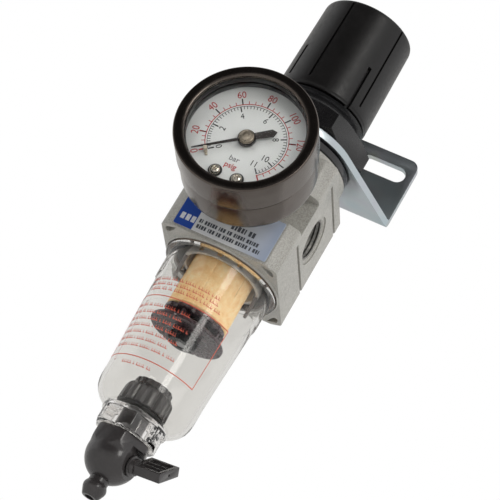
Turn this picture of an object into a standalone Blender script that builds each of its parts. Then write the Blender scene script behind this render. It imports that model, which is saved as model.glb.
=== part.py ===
"""Compressed-air filter-regulator with a dial gauge, a panel bracket and a clear filter bowl.

Lengths are in metres, written as millimetres times MM. Heights (z) are measured from the axis of the two
pipe ports, and y from the vertical axis of the knob and bowl. One empty then shifts the whole assembly, so
that the origin lies on the bracket's mounting face, midway between its two slots.
+Z points at the knob, -Y at the gauge, and +X at the outlet port.
"""

from math import acos, atan2, cos, degrees, pi, radians, sin

import bmesh
import bpy
from mathutils import Euler, Matrix, Vector

MM = 0.001
GAP = 0.3 * MM
ROUND = 28
FINE = 18

# Body casting
BODY_HALF = 20.0 * MM
BODY_BOTTOM = -23.4 * MM
BODY_SHOULDER = 17.5 * MM
BODY_TOP = 21.9 * MM
PORT_R = 6.58 * MM
PORT_FLOOR = 9.6 * MM
BOWL_BORE_R = 17.2 * MM
BOWL_BORE_TOP = -12.5 * MM
BONNET_BORE_R = 16.6 * MM
DIAPHRAGM_LEDGE = 15.3 * MM
CHAMBER_R = 13.5 * MM
CHAMBER_FLOOR = 9.0 * MM
SEAT_R = 3.6 * MM
SEAT_Z = -3.0 * MM
VALVE_BORE_R = 7.4 * MM
CHANNEL_LOW = -7.5 * MM
CHANNEL_HIGH = 4.5 * MM
CHANNEL_FLOOR = -15.2 * MM

# Bracket
SHEET = 2.4 * MM
BRACKET_LOW = 25.3 * MM
BRACKET_FACE = 24.4 * MM
BRACKET_TOP = 51.6 * MM
BRACKET_HALF = 32.3 * MM
BRACKET_ARC_R = 20.3 * MM
SLOT_WIDTH = 5.8 * MM
SLOT_LENGTH = 16.0 * MM
SLOT_X = 21.8 * MM
SLOT_Z = 44.6 * MM

# Bonnet, knob and control parts
NECK_R = 16.3 * MM
NUT_FLATS = 38.0 * MM
SPRING_SEAT = 42.3 * MM
PLATE_TOP = 20.6 * MM

# Gauge, whose own axis runs along -Y at this height
GAUGE_Z = -1.35 * MM
DIAL_FRONT = 47.8 * MM
NEEDLE_REST = 127.3
PINION_TEETH = 10
SECTOR_TEETH = 82
GEAR_MODULE = 0.25 * MM
TUBE_R = 13.8 * MM

# Bowl, filter and drain
BOWL_FLOOR = -76.9 * MM
BOSS_LOW = -85.0 * MM
BOSS_R = 10.8 * MM
FILTER_R = 10.3 * MM
FILTER_BORE = 6.6 * MM
FILTER_TOP = -17.9 * MM
FILTER_LOW = -40.8 * MM
DRAIN_HEX_R = 9.4 * MM
DRAIN_BALL_R = 8.55 * MM
DRAIN_BALL_Z = -92.0 * MM
DRAIN_TOP = -85.3 * MM
BARB_TIP = -106.2 * MM
LEVER_Z = -92.5 * MM
LEVER_AZIMUTH = -15.0
LEVER_TILT = 42.0
LEVER_FACE = 6.9 * MM


def clear_scene():
    for obj in list(bpy.data.objects):
        bpy.data.objects.remove(obj, do_unlink=True)


def new_collection(name):
    collection = bpy.data.collections.new(name)
    bpy.context.scene.collection.children.link(collection)
    return collection


clear_scene()
PARTS = new_collection("filter_regulator")
CUTTERS = new_collection("cutters")
FRAME = bpy.data.objects.new("assembly_frame", None)
FRAME.location = (0.0, -BRACKET_FACE, -SLOT_Z)
PARTS.objects.link(FRAME)


# ---------------------------------------------------------------- materials

def material(name, color, metallic=0.0, roughness=0.5, alpha=1.0, transmission=0.0):
    mat = bpy.data.materials.get(name)
    if mat is not None:
        return mat
    mat = bpy.data.materials.new(name)
    mat.use_nodes = True
    shader = mat.node_tree.nodes["Principled BSDF"]
    shader.inputs["Base Color"].default_value = (*color, 1.0)
    shader.inputs["Metallic"].default_value = metallic
    shader.inputs["Roughness"].default_value = roughness
    shader.inputs["Alpha"].default_value = alpha
    shader.inputs["Transmission Weight"].default_value = transmission
    mat.diffuse_color = (*color, alpha)
    return mat


def cast_paint():
    return material("cast_paint", (0.50, 0.49, 0.46), 0.4, 0.45)


def black_plastic():
    return material("black_plastic", (0.02, 0.02, 0.022), 0.0, 0.4)


def zinc_steel():
    return material("zinc_steel", (0.60, 0.66, 0.68), 0.9, 0.3)


def plain_steel():
    return material("plain_steel", (0.55, 0.55, 0.54), 1.0, 0.3)


def brass():
    return material("brass", (0.60, 0.45, 0.20), 1.0, 0.3)


def rubber():
    return material("rubber", (0.03, 0.03, 0.03), 0.0, 0.7)


def gunmetal():
    return material("gunmetal", (0.12, 0.10, 0.09), 0.9, 0.2)


def baffle_plastic():
    return material("baffle_plastic", (0.07, 0.04, 0.05), 0.0, 0.5)


def clear_plastic():
    return material("clear_plastic", (0.90, 0.92, 0.92), 0.0, 0.05, 0.35, 0.9)


def lens_plastic():
    return material("lens_plastic", (0.95, 0.96, 0.96), 0.0, 0.03, 0.2, 1.0)


def dial_white():
    return material("dial_white", (0.75, 0.76, 0.75), 0.0, 0.5)


def label_print():
    return material("label_print", (0.35, 0.42, 0.60), 0.3, 0.4)


def sintered_filter():
    return material("sintered_filter", (0.60, 0.38, 0.18), 0.0, 0.9)


# ---------------------------------------------------------------- shape tools

def add_object(name, data, mat, collection, location=(0, 0, 0), rotation=(0, 0, 0)):
    obj = bpy.data.objects.new(name, data)
    collection.objects.link(obj)
    obj.parent = FRAME
    obj.location = location
    obj.rotation_euler = rotation
    if mat is not None and data is not None:
        data.materials.append(mat)
    if collection is CUTTERS:
        obj.hide_render = True
        obj.display_type = "WIRE"
    return obj


def smooth(mesh):
    mesh.shade_smooth()
    mesh.set_sharp_from_angle(angle=radians(35))


def turned(name, profile, mat, ring=False, steps=ROUND, collection=None, location=(0, 0, 0), rotation=(0, 0, 0)):
    """Turns (radius, height) points about Z. A ring's profile closes on itself."""
    mesh = bpy.data.meshes.new(name)
    points = [(r, 0.0, z) for r, z in profile]
    edges = [(i, i + 1) for i in range(len(points) - 1)]
    if ring:
        edges.append((len(points) - 1, 0))
    mesh.from_pydata(points, edges, [])
    obj = add_object(name, mesh, mat, collection or PARTS, location, rotation)
    screw = obj.modifiers.new("turn", "SCREW")
    screw.axis = "Z"
    screw.angle = 2 * pi
    screw.steps = steps
    screw.render_steps = steps
    screw.use_merge_vertices = True
    screw.merge_threshold = 0.00001
    screw.use_smooth_shade = False
    return obj


def washer(name, inner, outer, low, high, mat, **where):
    profile = [(inner, high), (outer, high), (outer, low), (inner, low)]
    return turned(name, profile, mat, ring=True, **where)


def disc(name, radius, low, high, mat=None, **where):
    return turned(name, [(0, high), (radius, high), (radius, low), (0, low)], mat, **where)


def drill(name, radius, start, end, steps=FINE):
    """A round cutter between two points."""
    start = Vector(start)
    end = Vector(end)
    axis = end - start
    mesh = bpy.data.meshes.new(name)
    shape = bmesh.new()
    bmesh.ops.create_cone(
        shape, cap_ends=True, segments=steps, radius1=radius, radius2=radius, depth=axis.length
    )
    shape.to_mesh(mesh)
    shape.free()
    turn = axis.to_track_quat("Z", "Y").to_euler()
    return add_object(name, mesh, None, CUTTERS, (start + end) / 2, turn)


def block(name, low, high, mat=None, collection=None, rotation=(0, 0, 0)):
    """A box between its lowest and highest corners."""
    low = Vector(low)
    high = Vector(high)
    size = high - low
    mesh = bpy.data.meshes.new(name)
    shape = bmesh.new()
    bmesh.ops.create_cube(shape, size=1.0, matrix=Matrix.Diagonal((*size, 1.0)))
    shape.to_mesh(mesh)
    shape.free()
    return add_object(name, mesh, mat, collection or CUTTERS, (low + high) / 2, rotation)


def plate(name, outline, thickness, mat=None, collection=None, location=(0, 0, 0), rotation=(0, 0, 0)):
    """A flat outline in X and Y, as thick as given about its own plane, made a welded mesh."""
    curve = bpy.data.curves.new(name, "CURVE")
    curve.dimensions = "2D"
    curve.fill_mode = "BOTH"
    curve.extrude = thickness / 2
    spline = curve.splines.new("POLY")
    spline.points.add(len(outline) - 1)
    for point, (x, y) in zip(spline.points, outline):
        point.co = (x, y, 0.0, 1.0)
    spline.use_cyclic_u = True
    return curve_to_mesh(name, curve, mat, collection or CUTTERS, location, rotation)


def wire(name, path, radius, mat, cyclic=False, location=(0, 0, 0), rotation=(0, 0, 0)):
    """A round wire along a list of points, made a welded mesh with closed ends."""
    curve = bpy.data.curves.new(name, "CURVE")
    curve.dimensions = "3D"
    curve.bevel_depth = radius
    curve.bevel_resolution = 2
    curve.use_fill_caps = True
    spline = curve.splines.new("POLY")
    spline.points.add(len(path) - 1)
    for point, place in zip(spline.points, path):
        point.co = (*place, 1.0)
    spline.use_cyclic_u = cyclic
    return curve_to_mesh(name, curve, mat, PARTS, location, rotation)


def curve_to_mesh(name, curve, mat, collection, location, rotation):
    guide = add_object(name + "_curve", curve, None, CUTTERS, location, rotation)
    bpy.context.view_layer.update()
    evaluated = guide.evaluated_get(bpy.context.evaluated_depsgraph_get())
    mesh = bpy.data.meshes.new_from_object(evaluated)
    mesh.name = name
    shape = bmesh.new()
    shape.from_mesh(mesh)
    bmesh.ops.remove_doubles(shape, verts=shape.verts, dist=0.000002)
    shape.to_mesh(mesh)
    shape.free()
    bpy.data.objects.remove(guide, do_unlink=True)
    return add_object(name, mesh, mat, collection, location, rotation)


def boolean(obj, tools, operation):
    for tool in tools:
        step = obj.modifiers.new(operation.lower(), "BOOLEAN")
        step.operation = operation
        step.solver = "EXACT"
        step.object = tool
    return obj


def cut(obj, *tools):
    return boolean(obj, tools, "DIFFERENCE")


def join(obj, *tools):
    return boolean(obj, tools, "UNION")


def keep_inside(obj, *tools):
    return boolean(obj, tools, "INTERSECT")


def arc(cx, cy, radius, start, end, steps):
    """Points on an arc, with its angles in degrees."""
    points = []
    for i in range(steps + 1):
        angle = radians(start + (end - start) * i / steps)
        points.append((cx + radius * cos(angle), cy + radius * sin(angle)))
    return points


def polygon(radius, sides, first=0.0):
    return arc(0, 0, radius, first, first + 360.0 * (sides - 1) / sides, sides - 1)


def hex_radius(flats):
    return flats / 2 / cos(radians(30))


def coil(mean_radius, low, high, turns, steps_per_turn):
    """A spring's centre line, with its end turns lying flat."""
    points = []
    count = turns * steps_per_turn
    for i in range(count + 1):
        angle = 2 * pi * i / steps_per_turn
        share = (i - steps_per_turn) / (count - 2 * steps_per_turn)
        share = min(max(share, 0.0), 1.0)
        points.append((mean_radius * cos(angle), mean_radius * sin(angle), low + (high - low) * share))
    return points


# ---------------------------------------------------------------- body

def body_outline():
    quarter = [(16.0, -19.8), (19.4, -18.0), (BODY_HALF / MM, -17.2)]
    right = quarter + [(x, -y) for x, y in reversed(quarter)]
    left = [(-x, y) for x, y in reversed(right)]
    return [(x * MM, y * MM) for x, y in right + left]


def make_body():
    height = BODY_SHOULDER - BODY_BOTTOM
    middle = (BODY_SHOULDER + BODY_BOTTOM) / 2
    body = plate("body", body_outline(), height, cast_paint(), PARTS, (0, 0, middle))
    top = disc("body_top", 19.6 * MM, BODY_SHOULDER - 2 * MM, BODY_TOP, collection=CUTTERS)
    rim = disc("body_rim", 19.9 * MM, BODY_BOTTOM - 0.6 * MM, BODY_BOTTOM + 2 * MM, collection=CUTTERS)
    join(body, top, rim)
    for z in (-10.0 * MM, 13.0 * MM):
        for side in (-1, 1):
            near = side * 19.2 * MM
            far = side * 20.5 * MM
            low = (min(near, far), -13.2 * MM, z - 0.65 * MM)
            high = (max(near, far), 21.0 * MM, z + 0.65 * MM)
            cut(body, block("side_groove", low, high))
    cut(body, block("front_channel", (-25 * MM, -25 * MM, CHANNEL_LOW), (25 * MM, CHANNEL_FLOOR, CHANNEL_HIGH)))
    boss = drill("gauge_boss", 7.6 * MM, (0, CHANNEL_FLOOR + 3 * MM, GAUGE_Z), (0, -19.4 * MM, GAUGE_Z), ROUND)
    join(body, boss)
    for x in (-1, 1):
        for y in (-1, 1):
            pocket = drill(
                "corner_pocket",
                1.4 * MM,
                (x * 15.4 * MM, y * 16.0 * MM, BODY_BOTTOM - 1 * MM),
                (x * 15.4 * MM, y * 16.0 * MM, BODY_BOTTOM + 3 * MM),
                12,
            )
            cut(body, pocket)
    cut_body_passages(body)
    return body


def cut_body_passages(body):
    above = BODY_TOP + 2 * MM
    below = BODY_BOTTOM - 2 * MM
    bores = [
        (0, above), (BONNET_BORE_R, above), (BONNET_BORE_R, DIAPHRAGM_LEDGE), (CHAMBER_R, DIAPHRAGM_LEDGE),
        (CHAMBER_R, CHAMBER_FLOOR), (SEAT_R, CHAMBER_FLOOR), (SEAT_R, SEAT_Z), (VALVE_BORE_R, SEAT_Z),
        (VALVE_BORE_R, BOWL_BORE_TOP), (BOWL_BORE_R, BOWL_BORE_TOP), (BOWL_BORE_R, -22.0 * MM), (18.8 * MM, -22.0 * MM),
        (18.8 * MM, below), (0, below),
    ]
    cut(body, turned("vertical_bores", bores, None, collection=CUTTERS))
    for side in (-1, 1):
        spot = BODY_HALF - 0.35 * MM
        mouth = BODY_HALF + 1 * MM
        profile = [(0, mouth), (8.2 * MM, mouth), (8.2 * MM, spot), (PORT_R, spot), (PORT_R, PORT_FLOOR), (0, PORT_FLOOR)]
        cut(body, turned("port", profile, None, steps=32, collection=CUTTERS, rotation=(0, side * pi / 2, 0)))
    inlet_x = -13.0 * MM
    outlet_x = 11.0 * MM
    cut(
        body,
        drill("inlet_passage", 2.6 * MM, (inlet_x, 0, BOWL_BORE_TOP - 1 * MM), (inlet_x, 0, 0), 12),
        drill("outlet_passage", 2.4 * MM, (outlet_x, 0, 0), (outlet_x, 0, CHAMBER_FLOOR + 1 * MM), 12),
    )
    for side in (-1, 1):
        end = side * 21 * MM
        floor = side * 10.6 * MM
        bend = side * 11.9 * MM
        cut(
            body,
            drill("gauge_port", 4.86 * MM, (0, floor, GAUGE_Z), (0, end, GAUGE_Z)),
            drill("gauge_passage", 1.2 * MM, (0, bend, GAUGE_Z), (0, bend, CHAMBER_FLOOR + 1 * MM), 8),
        )


def make_label_plate():
    front = -20.4 * MM
    return block(
        "label_plate",
        (-16.0 * MM, front, -22.6 * MM),
        (15.6 * MM, front + 0.3 * MM, -8.2 * MM),
        label_print(),
        PARTS,
    )


def make_rear_plug():
    plug = turned(
        "rear_port_plug",
        [(0, 19.6 * MM), (4.0 * MM, 19.6 * MM), (4.5 * MM, 19.1 * MM), (4.5 * MM, 11.8 * MM), (0, 11.8 * MM)],
        plain_steel(),
        steps=FINE,
        location=(0, 0, GAUGE_Z),
        rotation=(-pi / 2, 0, 0),
    )
    key = plate(
        "plug_key", polygon(hex_radius(5.0 * MM), 6), 5.0 * MM, None, CUTTERS, (0, 18.5 * MM, GAUGE_Z), (pi / 2, 0, 0)
    )
    return cut(plug, key)


# ---------------------------------------------------------------- bonnet, nut and bracket

def make_bonnet():
    profile = [
        (4.2, 56.2), (12.4, 56.2), (13.4, 55.2), (13.4, 41.3), (15.7, 41.3), (16.3, 40.7), (16.3, 24.9),
        (18.9, 24.9), (19.2, 24.6), (19.2, 22.5), (18.9, 22.2), (16.2, 22.2), (16.2, 16.9), (13.9, 16.9),
        (13.9, 20.2), (12.0, 22.0), (12.0, 52.9), (4.2, 52.9),
    ]
    bonnet = turned("bonnet", [(r * MM, z * MM) for r, z in profile], black_plastic(), ring=True)
    for side in (-1, 1):
        near = side * 10.7 * MM
        far = side * 12.6 * MM
        low = (min(near, far), -1.5 * MM, 24.5 * MM)
        high = (max(near, far), 1.5 * MM, 53.5 * MM)
        join(bonnet, block("bonnet_key", low, high))
    return bonnet


def make_panel_nut():
    low = 28.1 * MM
    high = 36.0 * MM
    corner = hex_radius(NUT_FLATS)
    nut = plate(
        "panel_nut", polygon(corner, 6, 2.0), high - low, black_plastic(), PARTS, (0, 0, (low + high) / 2)
    )
    chamfer = turned(
        "nut_chamfer",
        [(0, high + MM), (corner - 2.6 * MM, high + MM), (corner + 0.2 * MM, high - 1.2 * MM),
         (corner + 0.2 * MM, low + 1.2 * MM), (corner - 2.6 * MM, low - MM), (0, low - MM)],
        None,
        collection=CUTTERS,
    )
    keep_inside(nut, chamfer)
    return cut(nut, disc("nut_bore", NECK_R + GAP, low - MM, high + MM, collection=CUTTERS))


def bracket_plan():
    """The bracket seen from above: a round front and straight edges that spread to the wide rear plate."""
    half = 31.4 * MM
    shoulder = 20.6 * MM
    far = (half ** 2 + shoulder ** 2) ** 0.5
    tangent = degrees(atan2(shoulder, half) - acos(BRACKET_ARC_R / far))
    front = arc(0, 0, BRACKET_ARC_R, tangent, -180 - tangent, 28)
    rear_y = BRACKET_FACE + 2 * MM
    left = [(-half, shoulder), (-BRACKET_HALF, shoulder + 0.9 * MM), (-BRACKET_HALF, rear_y)]
    right = [(-x, y) for x, y in reversed(left)]
    return front + left + right


def bracket_side():
    """The bent sheet seen from its end, as (y, z) points."""
    top = BRACKET_TOP + 2 * MM
    inner_r = 0.6 * MM
    outer_r = inner_r + SHEET
    bend_y = BRACKET_FACE - outer_r
    bend_z = BRACKET_LOW + outer_r
    outer = arc(bend_y, bend_z, outer_r, -90, 0, 6)
    inner = arc(bend_y, bend_z, inner_r, 0, -90, 4)
    return [(-25 * MM, BRACKET_LOW)] + outer + [(BRACKET_FACE, top), (BRACKET_FACE - SHEET, top)] + inner + [
        (-25 * MM, BRACKET_LOW + SHEET)
    ]


def bracket_front():
    """The bracket seen from its front, as (x, z) points, with round top corners."""
    radius = 3.0 * MM
    x = BRACKET_HALF - radius
    z = BRACKET_TOP - radius
    low = BRACKET_LOW - 2 * MM
    wide = BRACKET_HALF + 1 * MM
    right = arc(x, z, radius, 0, 90, 6)
    left = arc(-x, z, radius, 90, 180, 6)
    step = 32.0 * MM
    return (
        [(wide, low), (wide, step), (BRACKET_HALF, step)] + right + left
        + [(-BRACKET_HALF, step), (-wide, step), (-wide, low)]
    )


def make_bracket():
    bracket = plate(
        "mounting_bracket", bracket_side(), 80 * MM, zinc_steel(), PARTS, (0, 0, 0), (pi / 2, 0, pi / 2)
    )
    plan = plate("bracket_plan", bracket_plan(), 60 * MM, location=(0, 0, 40 * MM))
    front = plate("bracket_front", bracket_front(), 60 * MM, location=(0, 0, 0), rotation=(pi / 2, 0, 0))
    keep_inside(bracket, plan, front)
    hole = disc("bracket_hole", NECK_R + GAP, BRACKET_LOW - MM, BRACKET_LOW + 4 * MM, collection=CUTTERS)
    cut(bracket, hole)
    for side in (-1, 1):
        half = SLOT_LENGTH / 2 - SLOT_WIDTH / 2
        outline = arc(half, 0, SLOT_WIDTH / 2, -90, 90, 8) + arc(-half, 0, SLOT_WIDTH / 2, 90, 270, 8)
        slot = plate(
            "bracket_slot", outline, 8 * MM, location=(side * SLOT_X, BRACKET_FACE - SHEET / 2, SLOT_Z),
            rotation=(pi / 2, 0, 0),
        )
        cut(bracket, slot)
    return bracket


# ---------------------------------------------------------------- knob and control spring

def make_knob():
    profile = [
        (0, 77.8), (14.2, 77.8), (15.3, 77.4), (15.75, 76.4), (16.35, 42.9), (16.05, 42.0), (14.7, 42.0),
        (14.2, 42.8), (14.2, 72.0), (6.4, 72.0), (6.4, 60.2), (0, 60.2),
    ]
    knob = turned("knob", [(r * MM, z * MM) for r, z in profile], black_plastic())
    socket = plate(
        "knob_socket", polygon(4.4 * MM, 6), 13.5 * MM, location=(0, 0, 66.0 * MM)
    )
    cut(knob, socket)
    for i in range(5):
        cut(knob, knob_slot(-88.0 + 72.0 * i, 0.6 * MM, 15.2 * MM, 45.4 * MM, 76.4 * MM))
    for i in range(4):
        low = (46.0 * MM, 41.0 * MM)[i % 2]
        cut(knob, knob_slot(-48.5 + 90.0 * i, 1.0 * MM, 14.95 * MM, low, 57.8 * MM))
    return knob


def knob_slot(azimuth, width, inner, low, high):
    """A cutter for one upright slot in the knob's wall. The azimuth is from the gauge side towards the outlet."""
    angle = radians(azimuth - 90.0)
    slot = block("knob_slot", (0, -width / 2, 0), (2.5 * MM, width / 2, high - low))
    reach = inner + 1.25 * MM
    slot.location = (reach * cos(angle), reach * sin(angle), (low + high) / 2)
    slot.rotation_euler = (0, 0, angle)
    return slot


def make_adjusting_screw():
    profile = [
        (0, 57.5), (3.9, 57.5), (3.9, 51.6), (5.6, 51.6), (5.6, 49.4), (3.0, 49.4), (3.0, 28.0), (2.4, 27.4), (0, 27.4),
    ]
    screw = turned("adjusting_screw", [(r * MM, z * MM) for r, z in profile], plain_steel(), steps=FINE)
    drive = plate("screw_drive", polygon(4.0 * MM, 6), 12.0 * MM, location=(0, 0, 62.8 * MM))
    return join(screw, drive)


def make_thrust_washer():
    return washer("thrust_washer", 4.3 * MM, 7.0 * MM, 51.95 * MM, 52.6 * MM, brass(), steps=FINE)


def make_adjusting_nut():
    profile = [(3.3, 47.6), (11.4, 47.6), (11.4, 42.6), (6.5, 42.6), (6.5, 39.6), (3.3, 39.6)]
    nut = turned("adjusting_nut", [(r * MM, z * MM) for r, z in profile], brass(), ring=True, steps=FINE)
    for side in (-1, 1):
        near = side * 10.3 * MM
        far = side * 13.0 * MM
        low = (min(near, far), -1.8 * MM, 42.0 * MM)
        high = (max(near, far), 1.8 * MM, 48.5 * MM)
        cut(nut, block("nut_keyway", low, high))
    return nut


def make_regulating_spring():
    wire_r = 1.2 * MM
    low = PLATE_TOP + GAP + wire_r
    high = SPRING_SEAT - wire_r
    return wire("regulating_spring", coil(8.2 * MM, low, high, 7, 12), wire_r, plain_steel())


def make_diaphragm_parts():
    plate_profile = [
        (0, 23.0), (6.2, 23.0), (6.2, 20.6), (10.6, 20.6), (10.6, 18.3), (2.3, 18.3), (2.3, 15.5), (0, 15.5),
    ]
    turned("diaphragm_plate", [(r * MM, z * MM) for r, z in plate_profile], brass(), steps=FINE)
    rubber_profile = [
        (2.6, 18.0), (10.6, 18.0), (11.3, 17.2), (11.7, 15.5), (12.1, 15.1), (12.6, 15.6), (13.4, 16.6), (16.2, 16.6),
        (16.2, 15.6), (13.1, 15.6), (12.7, 14.6), (12.1, 14.1), (10.9, 14.7), (10.2, 16.9), (2.6, 16.9),
    ]
    turned("diaphragm", [(r * MM, z * MM) for r, z in rubber_profile], rubber(), ring=True)
    washer("diaphragm_washer", 2.6 * MM, 8.0 * MM, 15.5 * MM, 16.6 * MM, brass(), steps=FINE)


# ---------------------------------------------------------------- valve

def make_valve_parts():
    stem_profile = [
        (0, 15.2), (1.2, 15.2), (1.2, -4.9), (5.6, -4.9), (5.6, -7.4), (1.6, -7.4), (1.6, -11.6), (0, -11.6),
    ]
    turned("valve_stem", [(r * MM, z * MM) for r, z in stem_profile], brass(), steps=16)
    washer("valve_disc", 1.5 * MM, 5.5 * MM, -4.6 * MM, -3.3 * MM, rubber(), steps=FINE)
    wire_r = 0.35 * MM
    low = -12.4 * MM + GAP + wire_r
    high = -7.4 * MM - GAP - wire_r
    wire("valve_spring", coil(3.6 * MM, low, high, 5, 9), wire_r, plain_steel())
    guide_profile = [
        (1.9, -12.4), (4.6, -12.4), (4.6, -9.6), (7.1, -9.6), (7.1, -12.8), (9.2, -12.8), (9.2, -15.6), (5.0, -15.6),
        (5.0, -21.0), (2.3, -21.0), (2.3, -16.0), (1.9, -16.0),
    ]
    guide = turned("valve_guide", [(r * MM, z * MM) for r, z in guide_profile], black_plastic(), ring=True, steps=FINE)
    for i in range(4):
        angle = radians(45 + 90 * i)
        x = 3.6 * MM * cos(angle)
        y = 3.6 * MM * sin(angle)
        cut(guide, drill("air_hole", 0.8 * MM, (x, y, -21.5 * MM), (x, y, -12.0 * MM), 8))


# ---------------------------------------------------------------- filter

def make_filter_parts():
    deflector_profile = [
        (5.3, -15.9), (12.6, -15.9), (13.4, -16.7), (13.4, -25.0), (12.2, -25.0), (12.2, -17.6), (5.3, -17.6),
    ]
    deflector = turned(
        "deflector", [(r * MM, z * MM) for r, z in deflector_profile], baffle_plastic(), ring=True
    )
    for i in range(12):
        angle = radians(30 * i)
        reach = 12.8 * MM
        vane = block("deflector_slot", (-1.5 * MM, -0.8 * MM, -24.0 * MM), (1.5 * MM, 0.8 * MM, -19.0 * MM))
        vane.location = (reach * cos(angle), reach * sin(angle), -21.5 * MM)
        vane.rotation_euler = (0, 0, angle + radians(35))
        cut(deflector, vane)
    for side in (-162.0, 18.0):
        outer = arc(0, 0, 13.3 * MM, side - 9.0, side + 9.0, 3)
        inner = arc(0, 0, 12.3 * MM, side + 9.0, side - 9.0, 3)
        join(deflector, plate("deflector_leg", outer + inner, 6.4 * MM, location=(0, 0, -27.8 * MM)))
    washer("filter_element", FILTER_BORE, FILTER_R, FILTER_LOW, FILTER_TOP, sintered_filter())
    make_filter_retainer()
    washer("baffle", 2.3 * MM, 12.5 * MM, -47.0 * MM, -45.6 * MM, baffle_plastic())
    turned(
        "element_stud",
        [(0, -16.4 * MM), (1.7 * MM, -16.4 * MM), (2.0 * MM, -16.8 * MM), (2.0 * MM, -50.4 * MM), (0, -50.4 * MM)],
        plain_steel(),
        steps=16,
    )
    nut = plate(
        "element_nut", polygon(hex_radius(8.4 * MM), 6), 3.2 * MM, black_plastic(), PARTS, (0, 0, -48.9 * MM)
    )
    cut(nut, disc("element_nut_bore", 2.3 * MM, -52 * MM, -46 * MM, steps=16, collection=CUTTERS))


def make_filter_retainer():
    """The disc under the filter, with scallops in its rim and a hub that spaces it from the baffle."""
    profile = [
        (2.3, -41.1), (10.4, -41.1), (10.4, -42.5), (4.4, -42.5), (4.4, -45.3), (2.3, -45.3),
    ]
    retainer = turned(
        "filter_retainer", [(r * MM, z * MM) for r, z in profile], baffle_plastic(), ring=True
    )
    for i in range(8):
        angle = radians(45 * i + 10)
        x = 11.2 * MM * cos(angle)
        y = 11.2 * MM * sin(angle)
        cut(retainer, drill("retainer_scallop", 1.9 * MM, (x, y, -43.5 * MM), (x, y, -40.0 * MM), 12))


# ---------------------------------------------------------------- bowl and drain

def make_bowl():
    profile = [
        (13.9, -13.6), (16.6, -13.6), (16.6, -24.3), (19.2, -24.3), (19.2, -25.2), (17.8, -25.4), (17.6, -34.5),
        (17.2, -35.0), (16.6, -50.0), (16.2, -60.0), (16.0, -71.5), (15.6, -73.5), (14.6, -75.4), (13.0, -76.9),
        (11.0, -78.0), (4.6, -78.0), (4.6, BOWL_FLOOR / MM), (10.2, BOWL_FLOOR / MM), (12.2, -75.9), (13.4, -74.6),
        (14.2, -72.6), (14.4, -60.0), (14.8, -50.0), (15.3, -36.0), (15.2, -30.0), (13.9, -26.0),
    ]
    bowl = turned("bowl", [(r * MM, z * MM) for r, z in profile], clear_plastic(), ring=True, steps=32)
    boss_top = BOWL_FLOOR - 0.5 * MM
    boss = plate(
        "bowl_boss", polygon(BOSS_R, 6, -20.0), boss_top - BOSS_LOW, location=(0, 0, (BOSS_LOW + boss_top) / 2)
    )
    bore = disc("bowl_boss_bore", 4.6 * MM, BOSS_LOW - MM, BOWL_FLOOR + MM, steps=FINE, collection=CUTTERS)
    join(bowl, boss)
    return cut(bowl, bore)


def make_bowl_o_ring():
    section = arc(17.8 * MM, -23.1 * MM, 0.8 * MM, 90, -225, 7)
    turned("bowl_o_ring", section, rubber(), ring=True)


def lever_direction():
    angle = radians(LEVER_AZIMUTH)
    return Vector((cos(angle), sin(angle), 0.0))


def make_drain_body():
    """A hexagon on a ball, with a threaded stem above it and a hose barb below."""
    top = DRAIN_TOP / MM
    collar = [(0, top), (8.7, top), (9.5, -86.1), (9.5, -89.2), (8.2, -91.6), (0, -91.6)]
    drain = turned("drain_body", [(r * MM, z * MM) for r, z in collar], black_plastic())
    low = -93.0 * MM
    hexagon = plate(
        "drain_hex", polygon(DRAIN_HEX_R, 6, -20.0), DRAIN_TOP + MM - low, location=(0, 0, (DRAIN_TOP + MM + low) / 2)
    )
    keep_inside(drain, hexagon)
    ball = [(0, DRAIN_BALL_Z + 5 * MM)]
    ball += [(r, DRAIN_BALL_Z - z) for z, r in arc(0, 0, DRAIN_BALL_R, 125, 25, 12)]
    ball += [(0, DRAIN_BALL_Z - DRAIN_BALL_R * cos(radians(25)))]
    join(drain, turned("drain_ball", ball, None, collection=CUTTERS))
    stem = [(0, -68.0), (4.0, -68.0), (4.3, -68.4), (4.3, top - 0.6), (0, top - 0.6)]
    barb = [(0, -98.6), (3.1, -98.6), (3.05, -101.2), (3.8, -102.8), (3.8, -103.7), (2.6, BARB_TIP / MM), (0, BARB_TIP / MM)]
    for name, profile in (("drain_stem", stem), ("drain_barb", barb)):
        join(drain, turned(name, [(r * MM, z * MM) for r, z in profile], None, steps=FINE, collection=CUTTERS))
    axis = lever_direction()
    centre = Vector((0, 0, LEVER_Z))
    face = block("lever_flat", (0, -9 * MM, -4.0 * MM), (6 * MM, 9 * MM, 8.0 * MM))
    face.location = centre + axis * (LEVER_FACE + 3 * MM) + Vector((0, 0, -2.4 * MM))
    face.rotation_euler = (0, 0, radians(LEVER_AZIMUTH))
    cut(
        drain,
        face,
        drill("spigot_bore", 3.1 * MM, centre - axis * 4.6 * MM, centre + axis * 9 * MM),
        drill("drain_passage", 1.5 * MM, (0, 0, BARB_TIP - MM), (0, 0, -67 * MM), 12),
    )
    return drain


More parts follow.
